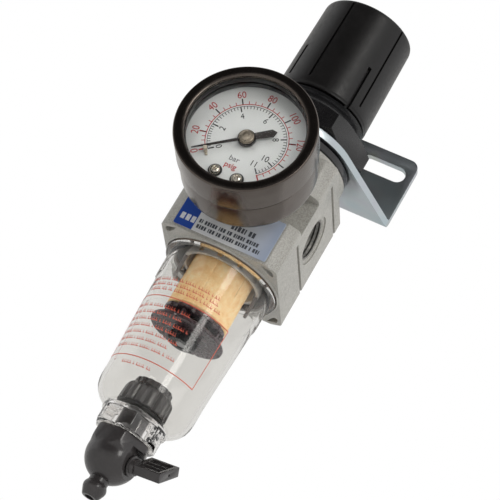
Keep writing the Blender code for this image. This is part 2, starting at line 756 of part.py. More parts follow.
def make_drain_lever():
    """The cock's plug and its handle in one piece, turned about its own Z axis, which points out of the drain."""
    where = {
        "location": (0, 0, LEVER_Z),
        "rotation": (Matrix.Rotation(radians(LEVER_AZIMUTH), 3, "Z") @ Matrix.Rotation(pi / 2, 3, "Y")).to_euler(),
    }
    profile = [
        (0, 9.2), (2.6, 9.2), (2.6, 7.9), (3.3, 7.9), (3.3, 7.2), (2.8, 7.2), (2.8, 6.2), (2.2, 6.2), (2.2, 4.9),
        (2.8, 4.9), (2.8, -4.2), (0, -4.2),
    ]
    lever = turned("drain_lever", [(r * MM, z * MM) for r, z in profile], black_plastic(), steps=FINE, **where)
    spin = Matrix.Rotation(radians(LEVER_TILT), 3, "Z")
    turn = where["rotation"].to_matrix() @ spin
    outline = [(-1.55, -2.0), (1.55, -2.0), (1.55, 8.6), (-1.55, 8.6)]
    handle = plate(
        "lever_handle",
        [(x * MM, y * MM) for x, y in outline],
        10.0 * MM,
        location=Vector((0, 0, LEVER_Z)) + lever_direction() * 13.5 * MM,
        rotation=turn.to_euler(),
    )
    join(lever, handle)
    across = lever_direction().cross(Vector((0, 0, -1)))
    centre = Vector((0, 0, LEVER_Z))
    cross = drill("lever_cross_hole", 1.2 * MM, centre - across * 5 * MM, centre + across * 5 * MM, 12)
    return cut(lever, cross)


def make_lever_o_ring():
    section = arc(2.62 * MM, 5.55 * MM, 0.35 * MM, 90, -225, 7)
    turned(
        "lever_o_ring",
        section,
        rubber(),
        ring=True,
        steps=FINE,
        location=(0, 0, LEVER_Z),
        rotation=(Matrix.Rotation(radians(LEVER_AZIMUTH), 3, "Z") @ Matrix.Rotation(pi / 2, 3, "Y")).to_euler(),
    )


def make_drain_nut():
    profile = [(4.6, -66.4), (6.4, -66.4), (6.4, -69.0), (8.8, -69.0), (8.8, -75.5), (4.6, -75.5)]
    nut = turned("drain_nut", [(r * MM, z * MM) for r, z in profile], black_plastic(), ring=True, steps=FINE)
    for i in range(12):
        angle = radians(30 * i + 7)
        x = 9.0 * MM * cos(angle)
        y = 9.0 * MM * sin(angle)
        cut(nut, drill("nut_flute", 0.9 * MM, (x, y, -77.5 * MM), (x, y, -68.0 * MM), 8))
    washer("drain_gasket", 4.6 * MM, 8.0 * MM, BOWL_FLOOR + GAP, -75.8 * MM, rubber(), steps=FINE)


# ---------------------------------------------------------------- gauge

GAUGE_PLACE = {"location": (0, 0, GAUGE_Z), "rotation": (pi / 2, 0, 0)}


def gauge_point(x, z, forward):
    """A place in the gauge: x and z from its axis, and how far forward of the knob's axis."""
    return Vector((x, -forward, GAUGE_Z + z))


def gauge_plate(name, outline, back, front, mat, collection=None, turn=0.0):
    """A flat piece parallel to the dial, from an outline of x and z points in millimetres."""
    points = [(x * MM, z * MM) for x, z in outline]
    middle = (back + front) / 2
    spin = (Matrix.Rotation(pi / 2, 3, "X") @ Matrix.Rotation(radians(turn), 3, "Z")).to_euler()
    return plate(name, points, front - back, mat, collection or PARTS, gauge_point(0, 0, middle), spin)


def gauge_drill(name, radius, x, z, back, front, steps=12):
    return drill(name, radius, gauge_point(x, z, back), gauge_point(x, z, front), steps)


def make_gauge_shell():
    case = [
        (4.9, 31.2), (19.4, 31.2), (19.6, 31.4), (19.6, 43.4), (21.0, 43.4), (21.0, 32.5), (20.2, 30.7), (18.5, 30.0),
        (4.9, 30.0),
    ]
    turned(
        "gauge_case", [(r * MM, z * MM) for r, z in case], gunmetal(), ring=True, **GAUGE_PLACE
    )
    bezel = [
        (18.0, 54.0), (18.3, 54.8), (18.9, 55.2), (20.9, 55.3), (21.5, 54.8), (21.5, 43.9), (20.3, 43.9), (20.3, 52.6),
        (18.0, 52.6),
    ]
    turned("gauge_bezel", [(r * MM, z * MM) for r, z in bezel], gunmetal(), ring=True, **GAUGE_PLACE)
    disc("gauge_lens", 20.0 * MM, 50.9 * MM, 52.2 * MM, lens_plastic(), **GAUGE_PLACE)
    dial = disc("gauge_dial", 19.4 * MM, 47.1 * MM, DIAL_FRONT, dial_white(), **GAUGE_PLACE)
    cut(dial, gauge_drill("dial_hole", 1.3 * MM, 0, 0, 46 * MM, 49 * MM))
    stem = [
        (0, 38.0), (4.6, 38.0), (4.6, 29.7), (5.2, 29.7), (5.2, 20.0), (4.5, 20.0), (4.5, 11.2), (0, 11.2),
    ]
    gauge_stem = turned("gauge_stem", [(r * MM, z * MM) for r, z in stem], brass(), steps=FINE, **GAUGE_PLACE)
    flats = gauge_plate("stem_hex", polygon(6.35, 6), 20.6 * MM, 28.4 * MM, None, CUTTERS)
    arm = gauge_plate("stem_arm", [(-3, -16), (3, -16), (3, 0), (-3, 0)], 32.0 * MM, 38.0 * MM, None, CUTTERS)
    join(gauge_stem, flats, arm)
    cut(gauge_stem, gauge_drill("stem_passage", 1.0 * MM, 0, 0, 10 * MM, 36 * MM, 8))


def make_dial_trim():
    for side, name in ((-1, "dial_screw_left"), (1, "dial_screw_right")):
        profile = [(0, 49.3), (0.9, 49.2), (1.5, 48.8), (1.7, 48.1), (0, 48.1)]
        turned(
            name,
            [(r * MM, z * MM) for r, z in profile],
            plain_steel(),
            steps=16,
            location=(side * 3.6 * MM, 0, GAUGE_Z - 13.15 * MM),
            rotation=(pi / 2, 0, 0),
        )
    pin_angle = radians(-NEEDLE_REST - 5.4)
    x = 12.6 * MM * sin(pin_angle)
    z = 12.6 * MM * cos(pin_angle)
    disc(
        "stop_pin", 0.5 * MM, 48.1 * MM, 50.3 * MM, brass(), steps=12, location=(x, 0, GAUGE_Z + z), rotation=(pi / 2, 0, 0)
    )


def make_needle():
    """The pointer, drawn pointing up and then turned back to its rest by the stop pin."""
    outline = [
        (-0.5, 2.0), (-0.15, 16.5), (0.15, 16.5), (0.5, 2.0), (1.0, -2.0), (1.0, -8.2), (0.0, -9.1), (-1.0, -8.2),
        (-1.0, -2.0),
    ]
    needle = gauge_plate("gauge_needle", outline, 49.0 * MM, 49.5 * MM, black_plastic(), None, NEEDLE_REST)
    hub = turned(
        "needle_hub", [(0, 49.7 * MM), (2.3 * MM, 49.7 * MM), (2.3 * MM, 48.5 * MM), (0, 48.5 * MM)], None,
        steps=FINE, collection=CUTTERS, **GAUGE_PLACE
    )
    join(needle, hub)
    turned(
        "needle_cap",
        [(0, 50.6 * MM), (1.9 * MM, 50.6 * MM), (2.3 * MM, 50.35 * MM), (2.3 * MM, 50.0 * MM), (0, 50.0 * MM)],
        brass(),
        steps=FINE,
        **GAUGE_PLACE,
    )


def gear_outline(pitch_radius, first, last, teeth, offset):
    """Teeth round an arc, as points in millimetres. Narrow, low teeth leave room to turn without touching."""
    points = []
    step = (last - first) / teeth
    tip = pitch_radius + 0.14
    root = pitch_radius - 0.36
    for i in range(teeth):
        centre = first + step * (i + offset)
        for radius, share in ((root, -0.24), (tip, -0.13), (tip, 0.13), (root, 0.24)):
            angle = radians(centre + step * share)
            points.append((radius * cos(angle), radius * sin(angle)))
    return points


def make_movement():
    pinion_r = PINION_TEETH * GEAR_MODULE / 2 / MM
    sector_r = SECTOR_TEETH * GEAR_MODULE / 2 / MM
    pivot_z = -(pinion_r + sector_r)
    pinion = gauge_plate(
        "pinion_arbor", gear_outline(pinion_r, -90.0, 270.0, PINION_TEETH, 0.0), 41.4 * MM, 42.8 * MM, brass()
    )
    arbor = turned(
        "arbor", [(0, 48.2 * MM), (0.7 * MM, 48.2 * MM), (0.7 * MM, 39.0 * MM), (0, 39.0 * MM)], None, steps=12,
        collection=CUTTERS, **GAUGE_PLACE
    )
    join(pinion, arbor)

    tooth = 360.0 / SECTOR_TEETH
    rim = gear_outline(sector_r, 90.0 - 9.5 * tooth, 90.0 + 2.5 * tooth, 12, 0.0)
    outline = [(-1.6, 0.8), (-1.7, -1.2), (0.0, -1.9), (4.6, -1.9), (5.1, -1.0), (4.6, -0.1), (2.2, 0.9)] + rim
    outline = [(x, z + pivot_z) for x, z in outline]
    sector = gauge_plate("sector_gear", outline, 41.6 * MM, 42.6 * MM, brass())
    link_x = 4.0
    link_z = pivot_z - 1.0
    cut(
        sector,
        gauge_drill("sector_bore", 0.8 * MM, 0, pivot_z * MM, 40 * MM, 44 * MM),
        gauge_drill("sector_link_bore", 0.5 * MM, link_x * MM, link_z * MM, 40 * MM, 44 * MM, 8),
    )

    frame_outline = [(-3.5, -14.5), (3.5, -14.5), (3.5, 3.5), (-3.5, 3.5)]
    frame = gauge_plate("movement_plate", frame_outline, 38.3 * MM, 39.3 * MM, brass())
    post = gauge_drill("sector_post", 0.6 * MM, 0, pivot_z * MM, 38.6 * MM, 43.2 * MM)
    join(frame, post)
    cut(frame, gauge_drill("arbor_bore", 1.0 * MM, 0, 0, 37 * MM, 40 * MM))
    make_tip_link(link_x, link_z)


def make_tip_link(link_x, link_z):
    """The bar from the sector's tail to the pressure tube's tip, with a pin through the tail."""
    reach = Vector((TUBE_R / MM - link_x, -1.0 - link_z))
    along = reach.normalized()
    side = Vector((-along.y, along.x)) * 0.7
    near = Vector((link_x, link_z)) - along * 0.8
    far = near + along * (reach.length + 1.6)
    outline = [near + side, near - side, far - side, far + side]
    link = gauge_plate("tip_link", [tuple(point) for point in outline], 40.2 * MM, 41.1 * MM, brass())
    join(link, gauge_drill("link_pin", 0.3 * MM, link_x * MM, link_z * MM, 40.7 * MM, 42.9 * MM, 8))


def make_bourdon_tube():
    """The curved pressure tube, from the stem's arm round to its free tip, which carries a small block."""
    path = []
    for i in range(25):
        angle = radians(254.5 - 258.5 * i / 24)
        path.append((TUBE_R * cos(angle), TUBE_R * sin(angle), 35.0 * MM))
    tube = wire("bourdon_tube", path, 1.5 * MM, brass(), **GAUGE_PLACE)
    reach = TUBE_R / MM
    tip = [(reach - 1.2, -2.4), (reach + 1.2, -2.4), (reach + 1.2, 0.2), (reach - 1.2, 0.2)]
    return join(tube, gauge_plate("tube_tip", tip, 34.0 * MM, 39.8 * MM, None, CUTTERS))


def make_all():
    make_body()
    make_label_plate()
    make_rear_plug()
    make_bonnet()
    make_panel_nut()
    make_bracket()
    make_knob()
    make_adjusting_screw()
    make_thrust_washer()
    make_adjusting_nut()
    make_regulating_spring()
    make_diaphragm_parts()
    make_valve_parts()
    make_filter_parts()
    make_bowl()
    make_bowl_o_ring()
    make_drain_body()
    make_drain_lever()
    make_lever_o_ring()
    make_drain_nut()
    make_gauge_shell()
    make_dial_trim()
    make_needle()
    make_movement()
    make_bourdon_tube()


make_all()
bpy.context.view_layer.update()
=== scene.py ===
"""Compressed-air filter-regulator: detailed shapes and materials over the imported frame.

Shapes are drawn in millimetres in the frame that part.py draws in: z is the height over the port axis, y runs
from the gauge to the bracket, and x to the outlet port. SHIFT then moves them to the row frame, in metres.
"""

from math import acos, atan2, cos, degrees, pi, radians, sin

import bmesh
import bpy
from mathutils import Matrix, Vector


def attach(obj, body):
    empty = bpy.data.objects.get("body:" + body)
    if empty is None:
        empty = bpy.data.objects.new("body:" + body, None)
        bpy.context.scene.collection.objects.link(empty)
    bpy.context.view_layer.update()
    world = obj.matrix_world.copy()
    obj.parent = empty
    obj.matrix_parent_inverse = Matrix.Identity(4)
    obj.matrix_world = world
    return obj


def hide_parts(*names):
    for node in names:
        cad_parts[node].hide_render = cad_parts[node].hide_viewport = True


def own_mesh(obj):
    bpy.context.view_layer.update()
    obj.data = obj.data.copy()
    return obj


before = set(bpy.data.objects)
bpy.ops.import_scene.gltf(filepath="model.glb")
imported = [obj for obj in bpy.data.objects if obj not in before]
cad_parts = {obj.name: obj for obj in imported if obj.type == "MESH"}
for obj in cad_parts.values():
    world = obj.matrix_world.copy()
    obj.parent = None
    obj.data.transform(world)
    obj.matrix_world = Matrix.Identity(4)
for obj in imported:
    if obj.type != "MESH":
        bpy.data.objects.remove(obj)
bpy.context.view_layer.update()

MM = 0.001
SHIFT = Vector((0.0, -24.4, -44.6))
TO_ROW = Matrix.Diagonal((MM, MM, MM, 1.0)) @ Matrix.Translation(SHIFT)
GAUGE_Z = -1.35
GAUGE = Matrix.Translation((0.0, 0.0, GAUGE_Z)) @ Matrix.Rotation(pi / 2, 4, "X")
LEVER_Z = -92.5
LEVER_AZIMUTH = -15.0
LEVER = (
    Matrix.Translation((0.0, 0.0, LEVER_Z))
    @ Matrix.Rotation(radians(LEVER_AZIMUTH), 4, "Z")
    @ Matrix.Rotation(pi / 2, 4, "Y")
)
NEEDLE_REST = -127.3


# ---------------------------------------------------------------- material tools

class Shader:
    """A material with one Principled node, and short calls that wire procedural detail into it."""

    def __init__(self, name, color, metallic=0.0, roughness=0.5, **sockets):
        self.mat = bpy.data.materials.new(name)
        self.mat.use_nodes = True
        self.tree = self.mat.node_tree
        self.bsdf = self.tree.nodes["Principled BSDF"]
        self.output = self.tree.nodes["Material Output"]
        self.coords = None
        self.set("Base Color", (*color, 1.0))
        self.set("Metallic", metallic)
        self.set("Roughness", roughness)
        for key, value in sockets.items():
            self.set(key.replace("_", " "), value)
        self.mat.diffuse_color = (*color, 1.0)

    def set(self, socket, value):
        self.bsdf.inputs[socket].default_value = value

    def node(self, kind, **values):
        node = self.tree.nodes.new(kind)
        for key, value in values.items():
            setattr(node, key, value)
        return node

    def link(self, source, target):
        self.tree.links.new(source, target)

    def place(self, scale=(1.0, 1.0, 1.0)):
        """Object coordinates in metres, stretched by scale."""
        if self.coords is None:
            self.coords = self.node("ShaderNodeTexCoord").outputs["Object"]
        mapping = self.node("ShaderNodeMapping")
        mapping.inputs["Scale"].default_value = scale
        self.link(self.coords, mapping.inputs["Vector"])
        return mapping.outputs["Vector"]

    def noise(self, size_mm, detail=3.0, stretch=(1.0, 1.0, 1.0), rough=0.55):
        noise = self.node("ShaderNodeTexNoise")
        noise.inputs["Scale"].default_value = 1000.0 / size_mm
        noise.inputs["Detail"].default_value = detail
        noise.inputs["Roughness"].default_value = rough
        self.link(self.place(stretch), noise.inputs["Vector"])
        return noise.outputs["Fac"]

    def cells(self, size_mm, feature="F1"):
        cells = self.node("ShaderNodeTexVoronoi", feature=feature)
        cells.inputs["Scale"].default_value = 1000.0 / size_mm
        self.link(self.place(), cells.inputs["Vector"])
        return cells.outputs["Distance"]

    def axis(self, index):
        """One of the object coordinates, in millimetres."""
        split = self.node("ShaderNodeSeparateXYZ")
        self.link(self.place((1000.0, 1000.0, 1000.0)), split.inputs[0])
        return split.outputs[index]

    def ramp(self, fac, stops):
        ramp = self.node("ShaderNodeValToRGB")
        elements = ramp.color_ramp.elements
        while len(elements) < len(stops):
            elements.new(0.5)
        for element, (place, color) in zip(elements, stops):
            element.position = place
            element.color = (*color, 1.0)
        self.link(fac, ramp.inputs["Fac"])
        return ramp.outputs["Color"]

    def span(self, value, low, high, to_low, to_high):
        span = self.node("ShaderNodeMapRange")
        for index, number in enumerate((low, high, to_low, to_high), start=1):
            span.inputs[index].default_value = number
        self.link(value, span.inputs[0])
        return span.outputs[0]

    def mix(self, fac, first, second):
        mix = self.node("ShaderNodeMix", data_type="RGBA")
        self.link(fac, mix.inputs["Factor"])
        for socket, value in ((mix.inputs[6], first), (mix.inputs[7], second)):
            if isinstance(value, tuple):
                socket.default_value = (*value, 1.0)
            else:
                self.link(value, socket)
        return mix.outputs[2]

    def color(self, source):
        self.link(source, self.bsdf.inputs["Base Color"])
        return self

    def vary_color(self, size_mm, dark, light, low=0.35, high=0.65, **noise):
        return self.color(self.ramp(self.noise(size_mm, **noise), [(low, dark), (high, light)]))

    def vary_roughness(self, size_mm, low, high, **noise):
        self.link(self.span(self.noise(size_mm, **noise), 0.3, 0.7, low, high), self.bsdf.inputs["Roughness"])
        return self

    def bump(self, height, strength, depth_mm):
        bump = self.node("ShaderNodeBump")
        bump.inputs["Strength"].default_value = strength
        bump.inputs["Distance"].default_value = depth_mm * MM
        self.link(height, bump.inputs["Height"])
        previous = self.bsdf.inputs["Normal"]
        if previous.is_linked:
            self.link(previous.links[0].from_socket, bump.inputs["Normal"])
        self.link(bump.outputs["Normal"], previous)
        return self

    def clear_to_lamps(self, tint):
        """Lamps shine through this clear material instead of casting its shadow."""
        path = self.node("ShaderNodeLightPath")
        clear = self.node("ShaderNodeBsdfTransparent")
        clear.inputs["Color"].default_value = (*tint, 1.0)
        mix = self.node("ShaderNodeMixShader")
        self.link(path.outputs["Is Shadow Ray"], mix.inputs[0])
        self.link(self.bsdf.outputs[0], mix.inputs[1])
        self.link(clear.outputs[0], mix.inputs[2])
        self.link(mix.outputs[0], self.output.inputs["Surface"])
        return self


def make_casting():
    paint = Shader("casting_paint", (0.47, 0.45, 0.405), 0.0, 0.42, Coat_Weight=0.25, Coat_Roughness=0.25)
    tone = paint.ramp(paint.noise(9.0, detail=4.0), [(0.35, (0.265, 0.256, 0.230)), (0.65, (0.32, 0.31, 0.28))])
    speckle = paint.span(paint.noise(0.42, detail=2.0), 0.36, 0.64, 0.0, 1.0)
    paint.color(paint.mix(speckle, tone, (0.42, 0.41, 0.375)))
    paint.vary_roughness(2.0, 0.36, 0.5)
    paint.bump(paint.noise(0.9, detail=3.0), 0.14, 0.12)
    paint.bump(paint.noise(0.35, detail=2.0), 0.22, 0.05)
    return paint.mat


def make_dark_casting():
    """The same paint deep inside the ports and bores, darkened as painted shade for these recesses."""
    paint = Shader("bore_painted_shade", (0.16, 0.155, 0.145), 0.6, 0.38)
    paint.vary_color(1.5, (0.10, 0.10, 0.095), (0.24, 0.23, 0.21))
    paint.bump(paint.noise(0.5), 0.15, 0.05)
    return paint.mat


def make_black_plastic(name, color, roughness, grain, shine=0.5):
    plastic = Shader(name, color, 0.0, roughness, Specular_IOR_Level=shine)
    lighter = tuple(1.35 * c for c in color)
    plastic.vary_color(6.0, color, lighter, detail=4.0)
    plastic.vary_roughness(1.2, roughness - 0.06, roughness + 0.07)
    plastic.bump(plastic.noise(0.3, detail=2.0), grain, 0.012)
    plastic.bump(plastic.noise(4.0, detail=2.0), 0.05, 0.10)
    return plastic.mat


def make_zinc():
    zinc = Shader("zinc_plate", (0.60, 0.68, 0.70), 1.0, 0.24)
    tint = zinc.ramp(
        zinc.noise(11.0, detail=1.5),
        [(0.30, (0.44, 0.51, 0.54)), (0.48, (0.48, 0.53, 0.55)), (0.62, (0.48, 0.50, 0.54)), (0.78, (0.50, 0.53, 0.50))],
    )
    zinc.color(tint)
    zinc.vary_roughness(9.0, 0.31, 0.36, detail=1.0)
    zinc.bump(zinc.noise(6.0, detail=1.0), 0.02, 0.03)
    return zinc.mat


def make_steel(name, color, roughness, grain_mm=0.5):
    steel = Shader(name, color, 1.0, roughness)
    darker = tuple(0.8 * c for c in color)
    steel.vary_color(1.6, darker, color)
    steel.vary_roughness(grain_mm, roughness - 0.06, roughness + 0.08)
    steel.bump(steel.noise(0.8), 0.05, 0.02)
    return steel.mat


def make_gunmetal():
    shell = Shader("gauge_gunmetal", (0.108, 0.091, 0.080), 1.0, 0.18)
    shell.vary_color(7.0, (0.102, 0.085, 0.075), (0.121, 0.104, 0.091), detail=3.0)
    shell.vary_roughness(2.0, 0.14, 0.22, detail=3.0)
    shell.bump(shell.noise(1.5, detail=3.0), 0.04, 0.02)
    return shell.mat


def make_clear(name, color, roughness, ior, tint, coat):
    clear = Shader(name, color, 0.0, roughness, Transmission_Weight=1.0, IOR=ior, Coat_Weight=coat, Coat_Roughness=0.04)
    clear.vary_color(20.0, tuple(0.985 * c for c in color), color)
    clear.bump(clear.noise(30.0, detail=0.0), 0.01, 0.2)
    return clear.clear_to_lamps(tint).mat


def make_dial_paint():
    dial = Shader("dial_paint", (0.70, 0.71, 0.70), 0.0, 0.45)
    dial.vary_color(14.0, (0.68, 0.69, 0.68), (0.73, 0.74, 0.73))
    dial.bump(dial.noise(0.3), 0.03, 0.01)
    return dial.mat


def make_print(name, color):
    ink = Shader(name, color, 0.0, 0.45)
    ink.vary_color(0.6, tuple(0.8 * c for c in color), color)
    return ink.mat


def make_label_foil():
    """A foil label: blue block on the left, silver between, fading to blue at the right end."""
    foil = Shader("label_foil", (0.5, 0.52, 0.56), 0.1, 0.38)
    x = foil.axis(0)
    silver = foil.ramp(
        foil.noise(6.0, detail=2.0), [(0.35, (0.60, 0.61, 0.62)), (0.65, (0.68, 0.69, 0.70))]
    )
    faded = foil.mix(foil.span(x, 4.0, 15.0, 0.0, 0.8), silver, (0.30, 0.37, 0.52))
    block = foil.ramp(foil.span(x, -9.75, -9.65, 0.0, 1.0), [(0.0, (1.0, 1.0, 1.0)), (1.0, (0.0, 0.0, 0.0))])
    foil.color(foil.mix(block, faded, (0.018, 0.065, 0.34)))
    foil.vary_roughness(3.0, 0.34, 0.42)
    return foil.mat


def make_sintered():
    beads = Shader("sintered_beads", (0.90, 0.56, 0.25), 0.0, 0.85)
    tone = beads.noise(3.0, detail=5.0, rough=0.7)
    beads.color(beads.ramp(tone, [(0.3, (0.90, 0.52, 0.22)), (0.55, (0.99, 0.70, 0.36)), (0.75, (1.0, 0.86, 0.56))]))
    beads.bump(beads.cells(0.55), 0.35, 0.12)
    beads.bump(beads.noise(0.3), 0.2, 0.05)
    return beads.mat


def make_rubber(name, color):
    rubber = Shader(name, color, 0.0, 0.55)
    rubber.vary_roughness(0.8, 0.48, 0.65)
    rubber.bump(rubber.noise(0.25), 0.12, 0.03)
    return rubber.mat


CASTING = make_casting()
BORE_SHADE = make_dark_casting()
KNOB_PLASTIC = make_black_plastic("knob_plastic", (0.0055, 0.005, 0.005), 0.36, 0.25, 0.32)
NUT_PLASTIC = make_black_plastic("nut_plastic", (0.008, 0.0075, 0.008), 0.26, 0.10, 0.4)
BONNET_PLASTIC = make_black_plastic("bonnet_plastic", (0.014, 0.014, 0.015), 0.19, 0.08)
DRAIN_PLASTIC = make_black_plastic("drain_plastic", (0.031, 0.028, 0.028), 0.20, 0.12)
RIBBED_PLASTIC = make_black_plastic("ribbed_plastic", (0.028, 0.025, 0.024), 0.18, 0.10)
BAFFLE_PLASTIC = make_black_plastic("baffle_plastic", (0.036, 0.020, 0.024), 0.28, 0.12)
DEFLECTOR_PLASTIC = make_black_plastic("deflector_plastic", (0.42, 0.40, 0.37), 0.32, 0.10)
# The deflector's legs take a darker copy of its plastic: painted shade.
LEG_SHADE_PLASTIC = make_black_plastic("deflector_leg_painted_shade", (0.13, 0.115, 0.11), 0.32, 0.10)
ZINC = make_zinc()
BRIGHT_STEEL = make_steel("bright_steel", (0.62, 0.61, 0.58), 0.22)
SCREW_STEEL = make_steel("screw_steel", (0.60, 0.55, 0.47), 0.22)
SPRING_STEEL = make_steel("spring_steel", (0.42, 0.42, 0.43), 0.34)
HUB_METAL = make_steel("hub_metal", (0.33, 0.28, 0.22), 0.30, 0.6)
BRASS = make_steel("turned_brass", (0.66, 0.50, 0.24), 0.28)
CREAM = make_print("pin_paint", (0.55, 0.48, 0.38))
GUNMETAL = make_gunmetal()
INNER_BLACK = make_black_plastic("gauge_inner_black", (0.010, 0.010, 0.010), 0.35, 0.08)
NEEDLE_BLACK = make_black_plastic("needle_black", (0.022, 0.018, 0.017), 0.40, 0.05)
BOWL_CLEAR = make_clear("clear_polycarbonate", (0.935, 0.930, 0.915), 0.04, 1.07, (0.90, 0.90, 0.88), 0.5)
BOSS_CLEAR = make_clear("clear_polycarbonate_boss", (0.86, 0.84, 0.82), 0.02, 1.45, (0.80, 0.79, 0.77), 0.6)
LENS_CLEAR = make_clear("clear_lens", (0.97, 0.975, 0.97), 0.01, 1.08, (0.95, 0.95, 0.95), 0.0)
DIAL_PAINT = make_dial_paint()
RED_PRINT = make_print("red_print", (0.50, 0.035, 0.04))
BLACK_PRINT = make_print("black_print", (0.025, 0.025, 0.025))
BOWL_PRINT = make_print("bowl_red_print", (0.72, 0.13, 0.08))
LABEL_PRINT = make_print("label_grey_print", (0.07, 0.075, 0.09))
WHITE_PRINT = make_print("label_white_print", (0.72, 0.74, 0.78))
GREY_PRINT = make_print("dial_grey_print", (0.17, 0.17, 0.18))
LABEL = make_label_foil()
SINTERED = make_sintered()
RUBBER = make_rubber("nitrile_rubber", (0.018, 0.018, 0.018))
SEAL_RUBBER = make_rubber("bowl_seal_rubber", (0.15, 0.115, 0.09))


# ---------------------------------------------------------------- shape tools, all in millimetres

def fillet(points, radius, steps=3, closed=False):
    """Rounds the corners of a line of points. A third number on a point is that corner's own radius."""
    count = len(points)
    flat = [Vector(point[:2]) for point in points]
    result = []
    for i, point in enumerate(points):
        own = point[2] if len(point) > 2 else radius
        here = flat[i]
        if own <= 0 or (not closed and i in (0, count - 1)):
            result.append(tuple(here))
            continue
        before = flat[i - 1] - here
        after = flat[(i + 1) % count] - here
        reach = min(own, before.length * 0.45, after.length * 0.45)
        if reach < 0.01 or before.normalized().dot(after.normalized()) < -0.995:
            result.append(tuple(here))
            continue
        start = here + before.normalized() * reach
        end = here + after.normalized() * reach
        for step in range(steps + 1):
            t = step / steps
            place = start * (1 - t) ** 2 + here * (2 * t * (1 - t)) + end * t ** 2
            result.append(tuple(place))
    return result


def revolve(profile, steps=96, closed=False, angles=None, shape=None):
    """Turns (radius, height) points about Z. shape(angle, radius, height) may move a point in or out."""
    bm = bmesh.new()
    turns = angles or [360.0 * i / steps for i in range(steps)]
    rings = []
    for r, z in profile:
        if r < 0.0001:
            rings.append([bm.verts.new((0.0, 0.0, z))])
            continue
        ring = []
        for turn in turns:
            reach = shape(turn, r, z) if shape else r
            ring.append(bm.verts.new((reach * cos(radians(turn)), reach * sin(radians(turn)), z)))
        rings.append(ring)
    pairs = list(zip(rings, rings[1:]))
    if closed:
        pairs.append((rings[-1], rings[0]))
    for first, second in pairs:
        for i in range(len(turns)):
            j = (i + 1) % len(turns)
            if len(first) == 1 and len(second) == 1:
                continue
            if len(first) == 1:
                bm.faces.new((first[0], second[j], second[i]))
            elif len(second) == 1:
                bm.faces.new((first[i], first[j], second[0]))
            else:
                bm.faces.new((first[i], first[j], second[j], second[i]))
    bmesh.ops.recalc_face_normals(bm, faces=bm.faces)
    return bm


def prism(outline, low, high):
    """A flat outline of x and y points, from one height to another."""
    bm = bmesh.new()
    bottom = [bm.verts.new((x, y, low)) for x, y in outline]
    top = [bm.verts.new((x, y, high)) for x, y in outline]
    bm.faces.new(bottom)
    bm.faces.new(top)
    for i in range(len(outline)):
        j = (i + 1) % len(outline)
        bm.faces.new((bottom[i], bottom[j], top[j], top[i]))
    bmesh.ops.recalc_face_normals(bm, faces=bm.faces)
    return bm


def cuboid(low, high):
    outline = [(low[0], low[1]), (high[0], low[1]), (high[0], high[1]), (low[0], high[1])]
    return prism(outline, low[2], high[2])


def rod(radius, start, end, steps=48):
    """A plain cylinder between two points."""
    start = Vector(start)
    axis = Vector(end) - start
    bm = revolve([(0, 0), (radius, 0), (radius, axis.length), (0, axis.length)], steps)
    turn = axis.to_track_quat("Z", "Y").to_matrix().to_4x4()
    return moved(bm, Matrix.Translation(start) @ turn)


def tube(path, radius, sides=12, closed=False):
    """A round wire along a list of points."""
    bm = bmesh.new()
    count = len(path)
    rings = []
    normal = None
    for i, point in enumerate(path):
        before = Vector(path[i - 1] if i or closed else path[0])
        after = Vector(path[(i + 1) % count] if i < count - 1 or closed else path[-1])
        along = (after - before).normalized()
        if normal is None:
            guess = Vector((0, 0, 1)) if abs(along.z) < 0.9 else Vector((1, 0, 0))
            normal = along.cross(guess).normalized()
        normal = (normal - along * normal.dot(along)).normalized()
        side = along.cross(normal)
        ring = []
        for k in range(sides):
            angle = 2 * pi * k / sides
            ring.append(bm.verts.new(Vector(point) + normal * radius * cos(angle) + side * radius * sin(angle)))
        rings.append(ring)
    pairs = list(zip(rings, rings[1:]))
    if closed:
        pairs.append((rings[-1], rings[0]))
    for first, second in pairs:
        for k in range(sides):
            j = (k + 1) % sides
            bm.faces.new((first[k], first[j], second[j], second[k]))
    if not closed:
        bm.faces.new(rings[0])
        bm.faces.new(rings[-1])
    bmesh.ops.recalc_face_normals(bm, faces=bm.faces)
    return bm


def moved(bm, matrix):
    bmesh.ops.transform(bm, matrix=matrix, verts=bm.verts)
    return bm


def together(*parts):
    """Several meshes as one, without joining their surfaces."""
    whole = bmesh.new()
    for part in parts:
        mesh = bpy.data.meshes.new("part")
        part.to_mesh(mesh)
        part.free()
        whole.from_mesh(mesh)
        bpy.data.meshes.remove(mesh)
    return whole


def temporary(bm):
    mesh = bpy.data.meshes.new("temporary")
    bm.to_mesh(mesh)
    bm.free()
    obj = bpy.data.objects.new("temporary", mesh)
    bpy.context.scene.collection.objects.link(obj)
    return obj


def evaluated(obj, extras=()):
    """The mesh an object's modifiers give, as a bmesh. The object and its helpers are removed."""
    bpy.context.view_layer.update()
    mesh = bpy.data.meshes.new_from_object(obj.evaluated_get(bpy.context.evaluated_depsgraph_get()))
    bm = bmesh.new()
    bm.from_mesh(mesh)
    bpy.data.meshes.remove(mesh)
    for item in (obj, *extras):
        old = item.data
        bpy.data.objects.remove(item, do_unlink=True)
        bpy.data.meshes.remove(old)
    return bm


def solid(base, tools, operation="DIFFERENCE"):
    """Cuts tools from a mesh, or joins them to it, or keeps what lies in all of them."""
    obj = temporary(base)
    helpers = [temporary(tool) for tool in tools]
    for helper in helpers:
        step = obj.modifiers.new("step", "BOOLEAN")
        step.operation = operation
        step.solver = "EXACT"
        step.object = helper
    return evaluated(obj, helpers)


def eased(bm, width, segments=2, angle=30.0):
    """Rounds every edge sharper than angle."""
    obj = temporary(bm)
    bevel = obj.modifiers.new("bevel", "BEVEL")
    bevel.width = width
    bevel.segments = segments
    bevel.limit_method = "ANGLE"
    bevel.angle_limit = radians(angle)
    bevel.miter_outer = "MITER_ARC"
    return evaluated(obj)


